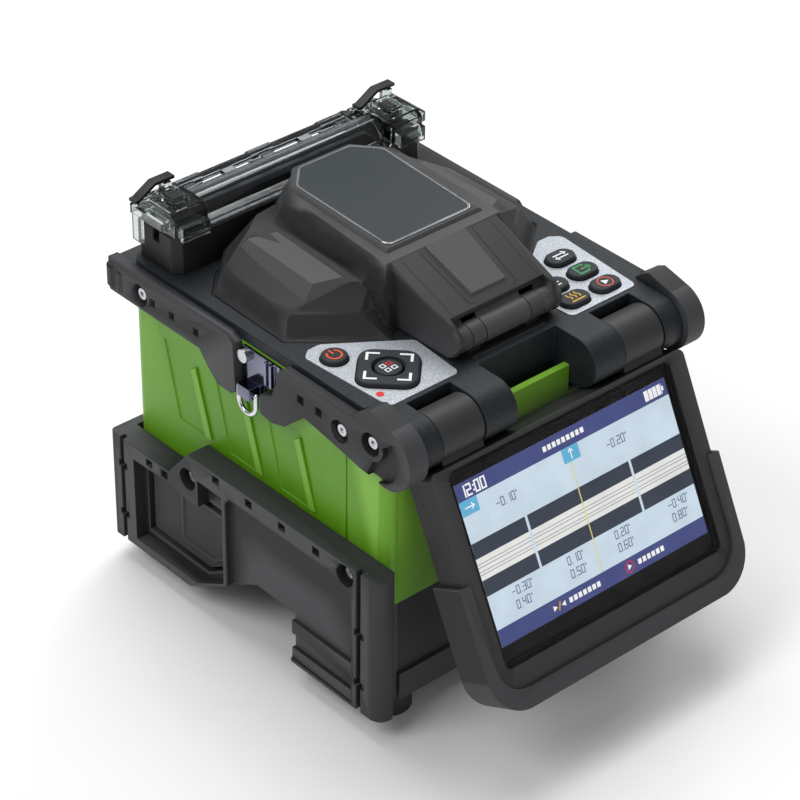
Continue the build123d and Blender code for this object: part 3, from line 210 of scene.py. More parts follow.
def speckled(name, dark, light, density, rough, metallic=0.0):
    """Fine two-tone speckle, as on a textured deck or a metallic printed film."""
    mat, nodes, links, bsdf = new_material(name)
    fine = noise(nodes, links, density, 2, 0.7)
    links.new(ramp(nodes, links, fine, [(0.42, dark), (0.62, light)]), bsdf.inputs["Base Color"])
    links.new(relief(nodes, links, fine, 0.25, GRAIN_DEPTH), bsdf.inputs["Normal"])
    bsdf.inputs["Metallic"].default_value = metallic
    bsdf.inputs["Roughness"].default_value = rough
    bsdf.inputs["Specular IOR Level"].default_value = 0.3


def ink_and_painted_shade(name, colour):
    """A flat matte print colour, also used as painted shade in grooves."""
    moulded(name, shade(colour, 0.93), colour, rough=(0.4, 0.5), grain=1800, bump=0.03)


# The record's material slots

# The lighter edge colours given below are painted highlights
moulded(
    "green_shell", srgb(86, 142, 10), srgb(95, 152, 16),
    rough=(0.32, 0.4), grain=1500, bump=0.04, edge_highlight=srgb(128, 184, 60), gloss=0.35,
)
moulded(
    "dark_plastic", srgb(36, 36, 37), srgb(42, 42, 43),
    rough=(0.42, 0.56), grain=2600, bump=0.15, edge_highlight=srgb(74, 74, 76), gloss=0.28,
)
moulded(
    "guard_rubber", srgb(37, 38, 40), srgb(44, 45, 47),
    rough=(0.5, 0.66), grain=2200, bump=0.2, edge_highlight=srgb(72, 73, 75), gloss=0.28,
)
moulded("key_rubber", srgb(34, 37, 42), srgb(42, 45, 50), rough=(0.5, 0.62), grain=3000, bump=0.15)
moulded("dark_plate", srgb(38, 46, 51), srgb(43, 51, 56), rough=(0.3, 0.34), grain=900, bump=0.01)
moulded("black_strap", srgb(26, 25, 27), srgb(34, 32, 35), rough=(0.35, 0.45), grain=1800, bump=0.1)
moulded("ceramic", srgb(205, 202, 192), srgb(222, 219, 210), rough=(0.25, 0.35), grain=900, bump=0.03)
moulded("circuit_board", srgb(14, 70, 34), srgb(18, 86, 42), rough=(0.3, 0.4), grain=700, bump=0.05)
moulded("black_socket", srgb(22, 22, 23), srgb(30, 30, 31), rough=(0.4, 0.5), grain=1500, bump=0.05)
speckled("deck_plastic", srgb(20, 24, 28), srgb(42, 48, 53), density=2400, rough=0.55)
speckled("silver_panel", srgb(158, 164, 172), srgb(208, 213, 219), density=2600, rough=0.4, metallic=0.35)
metal("bright_trim", srgb(225, 228, 232), rough=0.16)
metal("steel", srgb(180, 181, 188), rough=0.22, grain=130, low=0.8)
metal("brass", srgb(190, 160, 95), rough=0.3, grain=300)
metal("alloy", srgb(150, 152, 156), rough=0.38, grain=300)
clear("clear_plastic", srgb(204, 212, 210), rough=0.05)
clear("smoke_plastic", srgb(168, 174, 178), rough=0.07)
clear("screen_glass", srgb(252, 252, 252), rough=0.0, bend=1.12, flow=0.002)
lit("red_lens", srgb(235, 8, 16), strength=0.55, surface=srgb(150, 6, 8))
lit("lcd", srgb(8, 9, 11), strength=0.4, surface=srgb(5, 5, 6))

# Finishes of single nodes that differ from their slot

# Its lighter edge colour is a painted highlight
moulded(
    "black_base", srgb(20, 19, 18), srgb(27, 26, 25),
    rough=(0.4, 0.55), grain=2400, bump=0.12, edge_highlight=srgb(58, 57, 56), gloss=0.25,
)
metal("screw_steel", srgb(205, 206, 210), rough=0.28, grain=300)
metal("chrome", srgb(128, 130, 150), rough=0.12, low=0.62)

# The lit colours of the screen picture

lit("ui_pale", srgb(212, 229, 243), 0.95)
lit("ui_bar", srgb(74, 82, 138), 0.9)
lit("ui_band", srgb(62, 70, 84), 0.85)
lit("ui_fibre", srgb(240, 240, 238), 0.95)
lit("ui_line", srgb(150, 154, 156), 0.8)
lit("ui_axis", srgb(226, 222, 130), 0.95)
lit("ui_text", srgb(86, 98, 150), 0.8)
lit("ui_white", srgb(250, 250, 252), 1.0)
lit("ui_tag", srgb(104, 186, 226), 0.95)
lit("ui_red", srgb(214, 40, 60), 0.9)
lit("ui_gold", srgb(226, 168, 40), 0.9)
lit("ui_margin", srgb(7, 7, 8), 0.15)

# The inks of the key icons, and the painted shade in the cover's grooves

ink_and_painted_shade("ink_white", srgb(236, 238, 240))
ink_and_painted_shade("ink_orange", srgb(226, 84, 40))
ink_and_painted_shade("ink_red", srgb(206, 36, 44))
ink_and_painted_shade("ink_green", srgb(46, 158, 84))
ink_and_painted_shade("ink_yellow", srgb(222, 176, 34))
# Painted shade: a near-black flat colour for the grooves
ink_and_painted_shade("painted_groove_shade", srgb(17, 17, 18))

# ------------------------------------------------------------------ mesh helpers

WELD = 3e-6  # metres between corners that are one corner
FLAT = radians(0.8)  # the most that two faces turn and still are one flat face
SPECK = 1e-10  # square metres below which a face isn't looked at
TIGHT = 0.06  # the least distance off the surface that counts as torn
WIDEST_STRAY = 0.8  # the same, as a share of the rounding's width
SMOOTH_WEIGHT = 80
# Each trial's share of the wanted width, and the shortest edge it rounds, in widths
TRIALS = ((1.0, 2.5), (0.6, 2.5), (0.6, 0.0), (0.35, 2.5), (0.2, 2.5))


def finish_mesh(name, bm, slot, body, smooth_angle=34, replaces=()):
    """Turns a bmesh, in metres, into a shaded piece that rides on a body."""
    bmesh.ops.recalc_face_normals(bm, faces=bm.faces)
    mesh = bpy.data.meshes.new(name)
    bm.to_mesh(mesh)
    bm.free()
    mesh.shade_smooth()
    mesh.set_sharp_from_angle(angle=radians(smooth_angle))
    mesh.materials.clear()
    mesh.materials.append(LOOKS[slot])
    piece = add_object(name, mesh)
    weighted = piece.modifiers.new("weighted", "WEIGHTED_NORMAL")
    weighted.keep_sharp = True
    weighted.weight = SMOOTH_WEIGHT
    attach(piece, body)
    if replaces:
        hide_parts(*replaces)
    return piece


def clean_copy(source, joined=True):
    """A copy with shared corners merged and, if asked, its flat faces joined up."""
    bm = source.copy()
    bmesh.ops.remove_doubles(bm, verts=bm.verts, dist=WELD)
    if joined:
        bmesh.ops.dissolve_limit(bm, angle_limit=FLAT, verts=bm.verts, edges=bm.edges)
    return bm


def round_edges(bm, width, segments=2, angle=34, shortest=0.0):
    """Rounds by a width the edges that are sharper than an angle and longer than a length."""
    sharp = []
    for edge in bm.edges:
        if len(edge.link_faces) != 2 or edge.calc_length() < shortest * MM:
            continue
        if edge.calc_face_angle(0) > radians(angle):
            sharp.append(edge)
    if sharp:
        bmesh.ops.bevel(
            bm,
            geom=sharp,
            offset=width * MM,
            offset_type="OFFSET",
            segments=segments,
            profile=0.5,
            affect="EDGES",
            clamp_overlap=False,
            loop_slide=True,
        )
    bmesh.ops.remove_doubles(bm, verts=bm.verts, dist=WELD / 3)


def strays(bm, tree, limit):
    """Counts the faces whose middle has left the surface that was rounded."""
    probe = bm.copy()
    bmesh.ops.triangulate(probe, faces=probe.faces)
    count = 0
    for face in probe.faces:
        if face.calc_area() < SPECK:
            continue
        if tree.find_nearest(face.calc_center_median())[3] > limit * MM:
            count += 1
    probe.free()
    return count


def rounded_copy(source, width, segments=2, angle=34):
    """Rounds edges as widely as the mesh allows without tearing it, and leaves it sharp if nothing works."""
    tree = BVHTree.FromBMesh(source)
    for share, shortest in TRIALS:
        bm = clean_copy(source)
        tried = width * share
        round_edges(bm, tried, segments, angle, shortest * tried)
        if strays(bm, tree, max(TIGHT, tried * WIDEST_STRAY)) == 0:
            return bm
        bm.free()
    return clean_copy(source, joined=False)


def refine(node, width=0.4, segments=2, angle=34, smooth=40, shape=None):
    """Stands for a CAD node with the same form, its edges rounded as moulded ones are."""
    source = bmesh.new()
    source.from_mesh(frame["nodes"][node].data)
    if shape:
        shape(source)
    bm = rounded_copy(source, width, segments, angle)
    source.free()
    return finish_mesh(node + "_v", bm, SLOT_OF[node], BODY_OF[node], smooth, [node])


def loft_faces(bm, rings):
    """Closes rings of the same length into a solid form."""
    rows = [[bm.verts.new(Vector(p) * MM) for p in ring] for ring in rings]
    count = len(rows[0])
    for low, high in zip(rows, rows[1:]):
        for i in range(count):
            j = (i + 1) % count
            bm.faces.new((low[i], low[j], high[j], high[i]))
    bm.faces.new(rows[0][::-1])
    bm.faces.new(rows[-1])


# ------------------------------------------------------------------ shapes eased after the CAD

WING_FOOT = 129.6  # the height of the wind cover's brim
WING_SHOULDER = 139.3  # the height where the wings turn into the hood
WING_TOP = 141
WING_INNER = 23.3  # half the width of the hood
WING_REAR = 57
WING_RUN = 45
REAR_DROP = 0.9
FRONT_DROP = 2.4
NOTCH_HALF = 17.5
NOTCH_BACK = -35
NOTCH_FLOOR = 110.6
WALL_TOP = 116.5


def lower_wings(bm):
    """Lets the shoulders of the wind cover fall towards the front, so the pads stand over a channel."""
    for vert in bm.verts:
        x, y, z = vert.co / MM
        if abs(x) > WING_INNER and WING_FOOT < z < WING_TOP:
            forward = min(1.0, max(0.0, (WING_REAR - y) / WING_RUN))
            rise = (min(z, WING_SHOULDER) - WING_FOOT) / (WING_SHOULDER - WING_FOOT)
            vert.co.z -= (REAR_DROP + (FRONT_DROP - REAR_DROP) * forward) * rise * MM


def lower_notch_wall(bm):
    """Drops the short piece of front wall that shows through the notch in the deck."""
    for vert in bm.verts:
        x, y, z = vert.co / MM
        if abs(x) < NOTCH_HALF and y < NOTCH_BACK and abs(z - WALL_TOP) < 0.1:
            vert.co.z = NOTCH_FLOOR * MM


# ------------------------------------------------------------------ refined nodes

# The width of the rounding on each node
ROUNDED = {
    "base_tray": 0.5,
    "rubber_feet": 0.3,
    "body_shell": 0.35,
    "top_deck": 0.35,
    "keypad_panel_left": 0.1,
    "keypad_panel_right": 0.1,
    "lower_guard_left": 0.45,
    "lower_guard_right": 0.45,
    "rear_guard_left": 0.6,
    "rear_guard_right": 0.6,
    "front_guard_left": 0.6,
    "front_guard_right": 0.6,
    "case_screws": 0.15,
    "strap_bracket_left": 0.2,
    "strap_bracket_right": 0.2,
    "screen_bezel": 0.4,
    "screen_back": 0.4,
    "screen_guard": 0.5,
    "cover_plate": 0.15,
    "cover_trim": 0.15,
    "wind_cover": 0.7,
    "cover_bracket": 0.3,
    "heater_base": 0.35,
    "heater_trough": 0.2,
    "battery_pack": 0.4,
    "battery_latch": 0.35,
    "heater_strap_left": 0.15,
    "heater_strap_right": 0.15,
    "splice_chassis": 0.4,
    "fiber_stage_left": 0.25,
    "fiber_stage_right": 0.25,
    "sheath_clamp_left": 0.2,
    "sheath_clamp_right": 0.2,
    "electrode_holders": 0.2,
    "dc_jack": 0.15,
    "usb_port": 0.15,
    "tripod_bush": 0.2,
    "heater_lid": 0.15,
    "heater_clamp_left": 0.15,
    "heater_clamp_right": 0.15,
}
OWN_LOOK = {
    "heater_base": "black_base",
    "case_screws": "screw_steel",
    "strap_bracket_left": "chrome",
    "strap_bracket_right": "chrome",
}
RESHAPED = {"wind_cover": lower_wings, "body_shell": lower_notch_wall}
# The wind cover's facets meet at shallow angles, in degrees
SHALLOW_EDGE = 15
SHALLOW_SMOOTH = 28
SHALLOW = {"segments": 3, "angle": 12, "smooth": SHALLOW_SMOOTH}
PLAIN_SMOOTH = radians(40)

for node, width in ROUNDED.items():
    finer = SHALLOW if node == "wind_cover" else {}
    piece = refine(node, width, shape=RESHAPED.get(node), **finer)
    if node in OWN_LOOK:
        piece.data.materials[0] = LOOKS[OWN_LOOK[node]]
for node, obj in frame["nodes"].items():
    obj.data.materials.clear()
    obj.data.materials.append(LOOKS[SLOT_OF[node]])
    if node not in ROUNDED:
        obj.data.shade_smooth()
        obj.data.set_sharp_from_angle(angle=PLAIN_SMOOTH)

# ------------------------------------------------------------------ flat marks

ARC_STEP = 12  # degrees of an arc to each straight run
SHARPEST_MITRE = 0.4
ARROW_LINE = 0.45


class Marks:
    """Collects flat shapes on a plane, a hair above a surface, and makes one piece of each colour."""

    def __init__(self, name, body, origin, x_dir, y_dir):
        self.name = name
        self.body = body
        self.origin = Vector(origin) * MM
        self.x = Vector(x_dir)
        self.y = Vector(y_dir)
        self.n = self.x.cross(self.y)
        self.shapes = {}

    def add(self, material, points, lift):
        """A flat face through points, raised by a lift."""
        self.shapes.setdefault(material, []).append((points, lift))

    def rect(self, material, x0, y0, x1, y1, lift=0.02):
        """An upright rectangle between two corners."""
        self.add(material, [(x0, y0), (x1, y0), (x1, y1), (x0, y1)], lift)

    def stroke(self, material, points, width, lift=0.02, closed=False):
        """A line of even width along points, with mitred corners."""
        pts = [Vector(p) for p in points]
        count = len(pts)
        left, right = [], []
        for i, p in enumerate(pts):
            dirs = []
            if i > 0 or closed:
                dirs.append((p - pts[i - 1]).normalized())
            if i < count - 1 or closed:
                dirs.append((pts[(i + 1) % count] - p).normalized())
            mean = sum(dirs, Vector((0, 0))).normalized()
            side = Vector((-mean.y, mean.x))
            scale = 1 / max(SHARPEST_MITRE, abs(side.dot(Vector((-dirs[0].y, dirs[0].x)))))
            left.append(p + side * width / 2 * scale)
            right.append(p - side * width / 2 * scale)
        for i in range(count if closed else count - 1):
            j = (i + 1) % count
            self.add(material, [tuple(right[i]), tuple(right[j]), tuple(left[j]), tuple(left[i])], lift)

    def arc(self, material, cx, cy, radius, start, end, width, lift=0.02):
        """An arc of even width between two angles in degrees."""
        steps = max(6, int(abs(end - start) / ARC_STEP))
        angles = [radians(start + (end - start) * k / steps) for k in range(steps + 1)]
        self.stroke(material, [(cx + radius * cos(a), cy + radius * sin(a)) for a in angles], width, lift)

    def build(self):
        """Makes the pieces."""
        for material, shapes in self.shapes.items():
            bm = bmesh.new()
            for points, lift in shapes:
                verts = []
                for x, y in points:
                    place = self.origin + (self.x * x + self.y * y + self.n * lift) * MM
                    verts.append(bm.verts.new(place))
                bm.faces.new(verts)
            mesh = bpy.data.meshes.new(f"{self.name}_{material}")
            bm.to_mesh(mesh)
            bm.free()
            mesh.materials.append(LOOKS[material])
            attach(add_object(mesh.name, mesh), self.body)


# The strokes of each digit, and where a stroke runs: across in steps, up in half heights
SEGMENTS = {
    "0": "abcdef", "1": "bc", "2": "abged", "3": "abgcd", "4": "fgbc",
    "5": "afgcd", "6": "afgedc", "7": "abc", "8": "abcdefg", "9": "abcdfg", "-": "g",
}
STROKES = {
    "a": ((0, 2), (1, 2)), "b": ((1, 1), (1, 2)), "c": ((1, 0), (1, 1)), "d": ((0, 0), (1, 0)),
    "e": ((0, 0), (0, 1)), "f": ((0, 1), (0, 2)), "g": ((0, 1), (1, 1)),
}
# Shares of a digit's height
DIGIT_STEP = 0.46
DIGIT_GAP = 0.26
DOT_STEP = 0.28
DEGREE_STEP = 0.3


def degree_sign(marks, material, x, top, line, lift):
    """A small ring below a top height."""
    around = [k * pi / 4 for k in range(8)]
    ring = [(x + 0.4 * line + line * cos(a), top - line + line * sin(a)) for a in around]
    marks.stroke(material, ring, line * 0.6, lift, closed=True)


def number(marks, material, text, x, y, height, line, lift=0.1):
    """Writes digits as plain strokes of a line width. A star stands for the degree sign."""
    half = height / 2
    step = height * DIGIT_STEP
    edge = line / 2
    for char in text:
        if char in ".:":
            for dot_y in ([0] if char == "." else [half * 0.5, half * 1.4]):
                marks.rect(material, x, y + dot_y - edge, x + line, y + dot_y + edge, lift)
            x += height * DOT_STEP
            continue
        if char == "*":
            degree_sign(marks, material, x, y + height, line, lift)
            x += height * DEGREE_STEP
            continue
        for name in SEGMENTS[char]:
            (x0, y0), (x1, y1) = STROKES[name]
            left, low, high = x + x0 * step, y + y0 * half, y + y1 * half
            across = x + x1 * step if y0 == y1 else left
            marks.rect(material, left - edge, low - edge, across + edge, high + edge, lift)
        x += step + height * DIGIT_GAP


def arrow(marks, material, middle, heading, reach, lift):
    """An arrow through a middle point, with a head of a millimetre, which reaches so far either way."""
    ahead = Vector(heading)
    across = Vector((-ahead.y, ahead.x))
    tip = Vector(middle) + ahead * reach
    marks.stroke(material, [tip - ahead * 2 * reach, tip], ARROW_LINE, lift)
    marks.stroke(material, [tip - ahead + across, tip, tip - ahead - across], ARROW_LINE, lift + 0.01)


# ------------------------------------------------------------------ screen picture

TILT = radians(26.2)
GLASS_FRONT = 4.4  # from the hinge line to the glass
SCREEN_UP = Vector((0, sin(TILT), cos(TILT)))
SCREEN_OUT = Vector((0, -cos(TILT), sin(TILT)))
UI_HALF = 47.5
UI_TOP = -17.1
UI_LOW = -73.4
MARGIN_HALF = 48.9
MARGIN_TOP = -12.9
MARGIN_LOW = -79.4
HEAD = 6.0  # the height of the bars at the top and foot
BAND_TOP = -37.3
BAND_LOW = -55.5
BAND_GAPS = (-24.1, 23.1)
GAP_WIDTH = 1.0
FIBRE_TOP = -42.6
FIBRE_LOW = -50.0
CORE_LINES = (-44.6, -45.7, -47.2, -48.2)
LINE_HALF = 0.12
AXIS_HALF = 0.22
TAG_WIDTH = 7.4
TAG_HEIGHT = 5.0
AXIS_TOP = UI_TOP - HEAD - 4.6
# Readouts: where each starts, and its text
READOUTS = (
    (-33.2, -30.4, "-0.10*"),
    (16.4, -30.4, "-0.20*"),
    (-37.4, -59.6, "-0.30*"),
    (-37.0, -64.2, "0.40*"),
    (-12.6, -59.6, "0.10*"),
    (-12.6, -64.2, "0.50*"),
    (9.2, -59.6, "0.20*"),
    (9.2, -64.2, "0.60*"),
    (34.4, -59.6, "-0.40*"),
    (34.8, -64.2, "0.80*"),
)
# How far each layer of the picture stands off the glass
ON_MARGIN = 0.01
ON_FIELD = 0.03
ON_BARS = 0.06
ON_FIBRE = 0.07
ON_LINES = 0.09
ON_GAPS = 0.1
ON_TEXT = 0.12
ON_TAGS = 0.13
ON_TAG_ARROWS = 0.15

ui = Marks("screen_ui", "screen", joint_place("screen_tilt") + SCREEN_OUT * GLASS_FRONT, (1, 0, 0), SCREEN_UP)


def word_bars(x, low, count, lift):
    """A row of short plain bars in the place of words."""
    pitch, width, height = 2.1, 1.5, 1.8
    for k in range(count):
        left = x + pitch * k
        ui.rect("ui_white", left, low, left + width, low + height, lift)


def charge_mark(x, low):
    """A full battery with five cells."""
    length, height, nub = 8.0, 3.6, 0.8
    cell, split = 1.9, 0.25
    ui.rect("ui_white", x, low, x + length, low + height, ON_LINES)
    ui.rect("ui_white", x + length, low + 1.0, x + length + nub, low + height - 1.0, ON_LINES)
    for k in range(4):
        left = x + 1.8 + cell * k
        ui.rect("ui_bar", left, low, left + split, low + height, ON_TEXT)


def picture_frame():
    """The dark margin, the pale field and the bars at its top and foot."""
    ui.rect("ui_margin", -MARGIN_HALF, MARGIN_LOW, MARGIN_HALF, MARGIN_TOP, ON_MARGIN)
    ui.rect("ui_pale", -UI_HALF, UI_LOW, UI_HALF, UI_TOP, ON_FIELD)
    ui.rect("ui_bar", -UI_HALF, UI_TOP - HEAD, UI_HALF, UI_TOP, ON_BARS)
    ui.rect("ui_bar", -UI_HALF, UI_LOW, UI_HALF, UI_LOW + HEAD, ON_BARS)
    number(ui, "ui_white", "12:00", x=-45.6, y=UI_TOP - 5.0, height=3.6, line=0.6)
    word_bars(x=-9.5, low=UI_TOP - 3.9, count=9, lift=ON_LINES)
    charge_mark(x=37.2, low=UI_TOP - 4.9)


def fibre_image():
    """The dark band with the fibre across it, cut by two pale gaps and the yellow axis."""
    starts = [-UI_HALF] + [gap + GAP_WIDTH for gap in BAND_GAPS]
    ends = list(BAND_GAPS) + [UI_HALF]
    for start, end in zip(starts, ends):
        ui.rect("ui_band", start, BAND_LOW, end, BAND_TOP, ON_BARS)
    ui.rect("ui_fibre", -UI_HALF, FIBRE_LOW, UI_HALF, FIBRE_TOP, ON_FIBRE)
    for y in CORE_LINES:
        ui.rect("ui_line", -UI_HALF, y - LINE_HALF, UI_HALF, y + LINE_HALF, ON_LINES)
    for gap in BAND_GAPS:
        ui.rect("ui_pale", gap, BAND_LOW, gap + GAP_WIDTH, BAND_TOP, ON_GAPS)
    ui.rect("ui_axis", -AXIS_HALF, UI_LOW + HEAD, AXIS_HALF, AXIS_TOP, ON_TEXT)


def direction_tags():
    """The two blue tags under the top bar, one arrow across and one arrow up."""
    top = UI_TOP - HEAD
    for left, heading, reach in ((-UI_HALF, (1, 0), 1.9), (-2.6, (0, 1), 1.7)):
        ui.rect("ui_tag", left, top - TAG_HEIGHT, left + TAG_WIDTH, top, ON_TAGS)
        middle = (left + TAG_WIDTH / 2, top - TAG_HEIGHT / 2)
        arrow(ui, "ui_white", middle, heading, reach, ON_TAG_ARROWS)


def footer():
    """The splice mark and the play mark, each with its row of bars."""
    middle = UI_LOW + HEAD / 2
    low = UI_LOW + 2.1
    ui.stroke("ui_gold", [(-21.4, middle - 1.4), (-20.2, middle + 1.4)], 0.6, ON_TEXT)
    for side in SIDES.values():
        tip = -20.8 + side * 0.9
        wedge = [(tip, middle), (tip + side * 1.8, middle - 1.0), (tip + side * 1.8, middle + 1.0)]
        ui.add("ui_white", wedge[::side], ON_TEXT)
    word_bars(x=-16.4, low=low, count=7, lift=ON_TEXT)
    ui.arc("ui_red", 11.4, middle, radius=1.9, start=0, end=360, width=0.4, lift=ON_TEXT)
    ui.add("ui_white", [(10.7, middle - 1.0), (12.4, middle), (10.7, middle + 1.0)], ON_TEXT)
    word_bars(x=15.4, low=low, count=6, lift=ON_TEXT)


picture_frame()
fibre_image()
direction_tags()
for x, y, text in READOUTS:
    number(ui, "ui_text", text, x, y, height=2.7, line=0.32)
footer()
ui.build()

# ------------------------------------------------------------------ key icons


def key_marks(name):
    """Marks in the middle of a key's top."""
    low, high = box_of(name)
    middle = (low + high) / 2
    return Marks(name + "_icon", name, (middle.x, middle.y, high.z), (1, 0, 0), (0, 1, 0))


def power_icon():
    """A ring with a gap at the top, and a stroke through the gap."""
    marks = key_marks("power_button")
    marks.arc("ink_orange", 0, 0, radius=2.5, start=125, end=415, width=0.7)
    marks.stroke("ink_orange", [(0, 0.4), (0, 3.1)], width=0.7)
    marks.build()


def direction_icon():
    """Four right-angled brackets that point out from the middle of the ring."""
    reach, arm = 10.4, 2.9
    marks = key_marks("dpad_button")
    for heading in ((0, 1), (1, 0), (0, -1), (-1, 0)):
        out = Vector(heading)
        across = Vector((-out.y, out.x)) * arm
        tip = out * reach
        root = tip - out * arm
        marks.stroke("ink_white", [root + across, tip, root - across], width=0.95)
    marks.build()


def confirm_icon():
    """Four small open squares, one of them red."""
    spread_out, half = 1.35, 0.8
    marks = key_marks("ok_button")
    for dx, dy in ((-1, 1), (-1, -1), (1, -1), (1, 1)):
        left, right = spread_out * dx - half, spread_out * dx + half
        low, high = spread_out * dy - half, spread_out * dy + half
        colour = "ink_red" if dx == dy == 1 else "ink_white"
        square = [(left, low), (right, low), (right, high), (left, high)]
        marks.stroke(colour, square, width=0.42, closed=True)
    marks.build()


def swap_icon():
    """Two opposed arrows."""
    reach, apart, head = 2.8, 0.9, 1.2
    marks = key_marks("xy_button")
    for side in SIDES.values():
        y = side * apart
        tip = (side * reach, y)
        neck = side * (reach - head)
        marks.stroke("ink_white", [(-side * reach, y), tip], width=0.6)
        marks.stroke("ink_white", [(neck, y + 1.1), tip, (neck, y - 0.9)], width=0.55)
    marks.build()


def leave_icon():
    """An arrow that leaves an open box."""
    high, right, gap = 2.2, 1.2, 1.3
    marks = key_marks("exit_button")
    box = [(right, gap), (right, high), (-2.6, high), (-2.6, -high), (right, -high), (right, -gap)]
    marks.stroke("ink_green", box, width=0.6)
    marks.stroke("ink_green", [(-0.8, 0), (3.2, 0)], width=0.6)
    marks.stroke("ink_green", [(2.0, 1.1), (3.2, 0), (2.0, -1.1)], width=0.5)
    marks.build()


def start_icon():
    """A triangle in a ring."""
    marks = key_marks("start_button")
    marks.arc("ink_orange", 0, 0, radius=2.7, start=0, end=360, width=0.4)
    marks.add("ink_white", [(-1.0, -1.4), (1.5, 0), (-1.0, 1.4)], lift=0.02)
    marks.build()


def menu_icon():
    """Three bars."""
    half, thick = 2.4, 0.28
    marks = key_marks("menu_button")
    for y in (1.6, 0, -1.6):
        marks.rect("ink_white", -half, y - thick, half, y + thick)
    marks.build()


def heat_icon():
    """Three waves over a bar."""
    apart, sway, foot, rise = 1.8, 0.45, -0.9, 0.42
    marks = key_marks("heat_button")
    for x in (-apart, 0, apart):
        wave = [(x + sway * sin(k * pi / 4), foot + k * rise) for k in range(9)]
        marks.stroke("ink_yellow", wave, width=0.5)
    marks.rect("ink_yellow", -3.0, -2.4, 3.0, -1.8)
    marks.build()


power_icon()
direction_icon()
confirm_icon()
swap_icon()
leave_icon()
start_icon()
menu_icon()
heat_icon()

# ------------------------------------------------------------------ wind cover detail

# One side's wing pad, seen from above: rear outer, rear inner, front inner, front outer corner
PAD_TOP = [(39.9, 51.8, 136.9), (31.0, 46.8, 138.5), (32.7, 11.5, 138.2), (41.3, 16.5, 136.6)]
PAD_FOOT = [(44.2, 52.9, 132.9), (29.6, 48.2, 137.4), (33.2, 10.0, 135.2), (46.0, 15.4, 131.1)]
ARM_FALL = 0.39  # the slope of the arm's top, which falls towards the screen
ARM_TOP_Y = -1.3
ARM_TOP_Z = 146.2
ARM_PANEL = [(-9.6, -1.6), (-8.2, -24.2), (8.2, -24.2), (9.6, -1.6)]
PANEL_ROOT = -0.8
PANEL_RISE = 0.9
# The grooves of one side of the arm, each with its width, drawn as painted shade
ARM_GROOVES = (([(11.8, -2.4), (10.6, -27.0), (8.4, -28.4)], 0.5), ([(19.6, -3.0), (19.0, -29.0)], 0.3))
HOOD_LEAN = radians(2.54)
HOOD_Y = Vector((0, cos(HOOD_LEAN), sin(HOOD_LEAN)))
HOOD_UP = Vector((0, -sin(HOOD_LEAN), cos(HOOD_LEAN)))
HOOD_FRONT = Vector((0, 5.5, 146.7))
# The margin and lift of each ring of the plinth under the top plate
PLINTH = ((3.0, -0.4), (2.6, 0.5), (1.9, 1.1), (0.4, 1.1))


def wing_pad(side_name, side):
    """The raised pad on one wing, with sloping sides."""
    bm = bmesh.new()
    loft_faces(bm, [[(side * x, y, z) for x, y, z in ring] for ring in (PAD_FOOT, PAD_TOP)])
    round_edges(bm, width=0.5, segments=3, angle=SHALLOW_EDGE)
    finish_mesh(f"cover_pad_{side_name}", bm, "dark_plastic", "wind_cover", SHALLOW_SMOOTH)


def on_arm(x, y, lift):
    """A point on the sloping top of the cover's arm, raised by a lift."""
    return (x, y, ARM_TOP_Z + ARM_FALL * (y - ARM_TOP_Y) + lift)


def arm_panel():
    """The raised panel on the arm."""
    bm = bmesh.new()
    outer = [on_arm(x, y, PANEL_ROOT) for x, y in ARM_PANEL]
    inner = [on_arm(x * 0.92, y * 0.95 - 0.5, PANEL_RISE) for x, y in ARM_PANEL]  # drawn in
    loft_faces(bm, [outer, inner])
    round_edges(bm, width=0.3, angle=SHALLOW_EDGE)
    finish_mesh("cover_arm_panel", bm, "dark_plastic", "wind_cover", SHALLOW_SMOOTH)


def arm_grooves():
    """The grooves either side of the arm's panel, drawn as dark strokes of painted shade."""
    slope = Vector((0, 1, ARM_FALL)).normalized()
    marks = Marks("cover_arm_grooves", "wind_cover", on_arm(0, 0, 0), (1, 0, 0), slope)
    for side in SIDES.values():
        for points, width in ARM_GROOVES:
            # Each groove is a dark stroke of painted shade
            marks.stroke("painted_groove_shade", [(side * x, y) for x, y in points], width)
    marks.build()


def plinth_ring(margin, lift):
    """The outline of the top plate on the hood's tilted top, grown by a margin and raised by a lift."""
    front, rear, corner = 18.3 + margin, 18.8 + margin, 11.2 + 0.4 * margin
    half = [(front, -margin), (rear, 45 + 0.4 * margin), (corner, 53 + margin)]
    outline = half + [(-x, y) for x, y in reversed(half)]
    return [HOOD_FRONT + Vector((x, 0, 0)) + HOOD_Y * y + HOOD_UP * lift for x, y in outline]


def plinth():
    """The low step that the top plate stands on."""
    bm = bmesh.new()
    loft_faces(bm, [plinth_ring(margin, lift) for margin, lift in PLINTH])
    round_edges(bm, width=0.2, angle=SHALLOW_EDGE)
    finish_mesh("cover_plinth", bm, "dark_plastic", "wind_cover", SHALLOW_SMOOTH)


for side_name, side in SIDES.items():
    wing_pad(side_name, side)
arm_panel()
arm_grooves()
plinth()

# ------------------------------------------------------------------ heater clamp inserts

CLAMP_INSET = 7.1  # from a clamp's inner end to the middle of its inserts
INSERT_EDGE = {"width": 0.15, "angle": 20}
INSERT_SMOOTH = 30
# Blocks in one clamp: half length, spans across and up, and how far the top is drawn in
PADS = ((5.2, (69.0, 73.6), (137.3, 140.6), 0.3), (5.2, (80.2, 82.2), (137.3, 141.4), 0.3))
TOP_TAB = (2.2, (73.9, 80.1), (146.3, 147.0), 0.5)
SPRING_FROM = 2.4  # of the clamp's middle
SPRING_TO = 4.6
SPRING_ACROSS = (74.4, 79.6)
SPRING_UP = (138.0, 144.2)


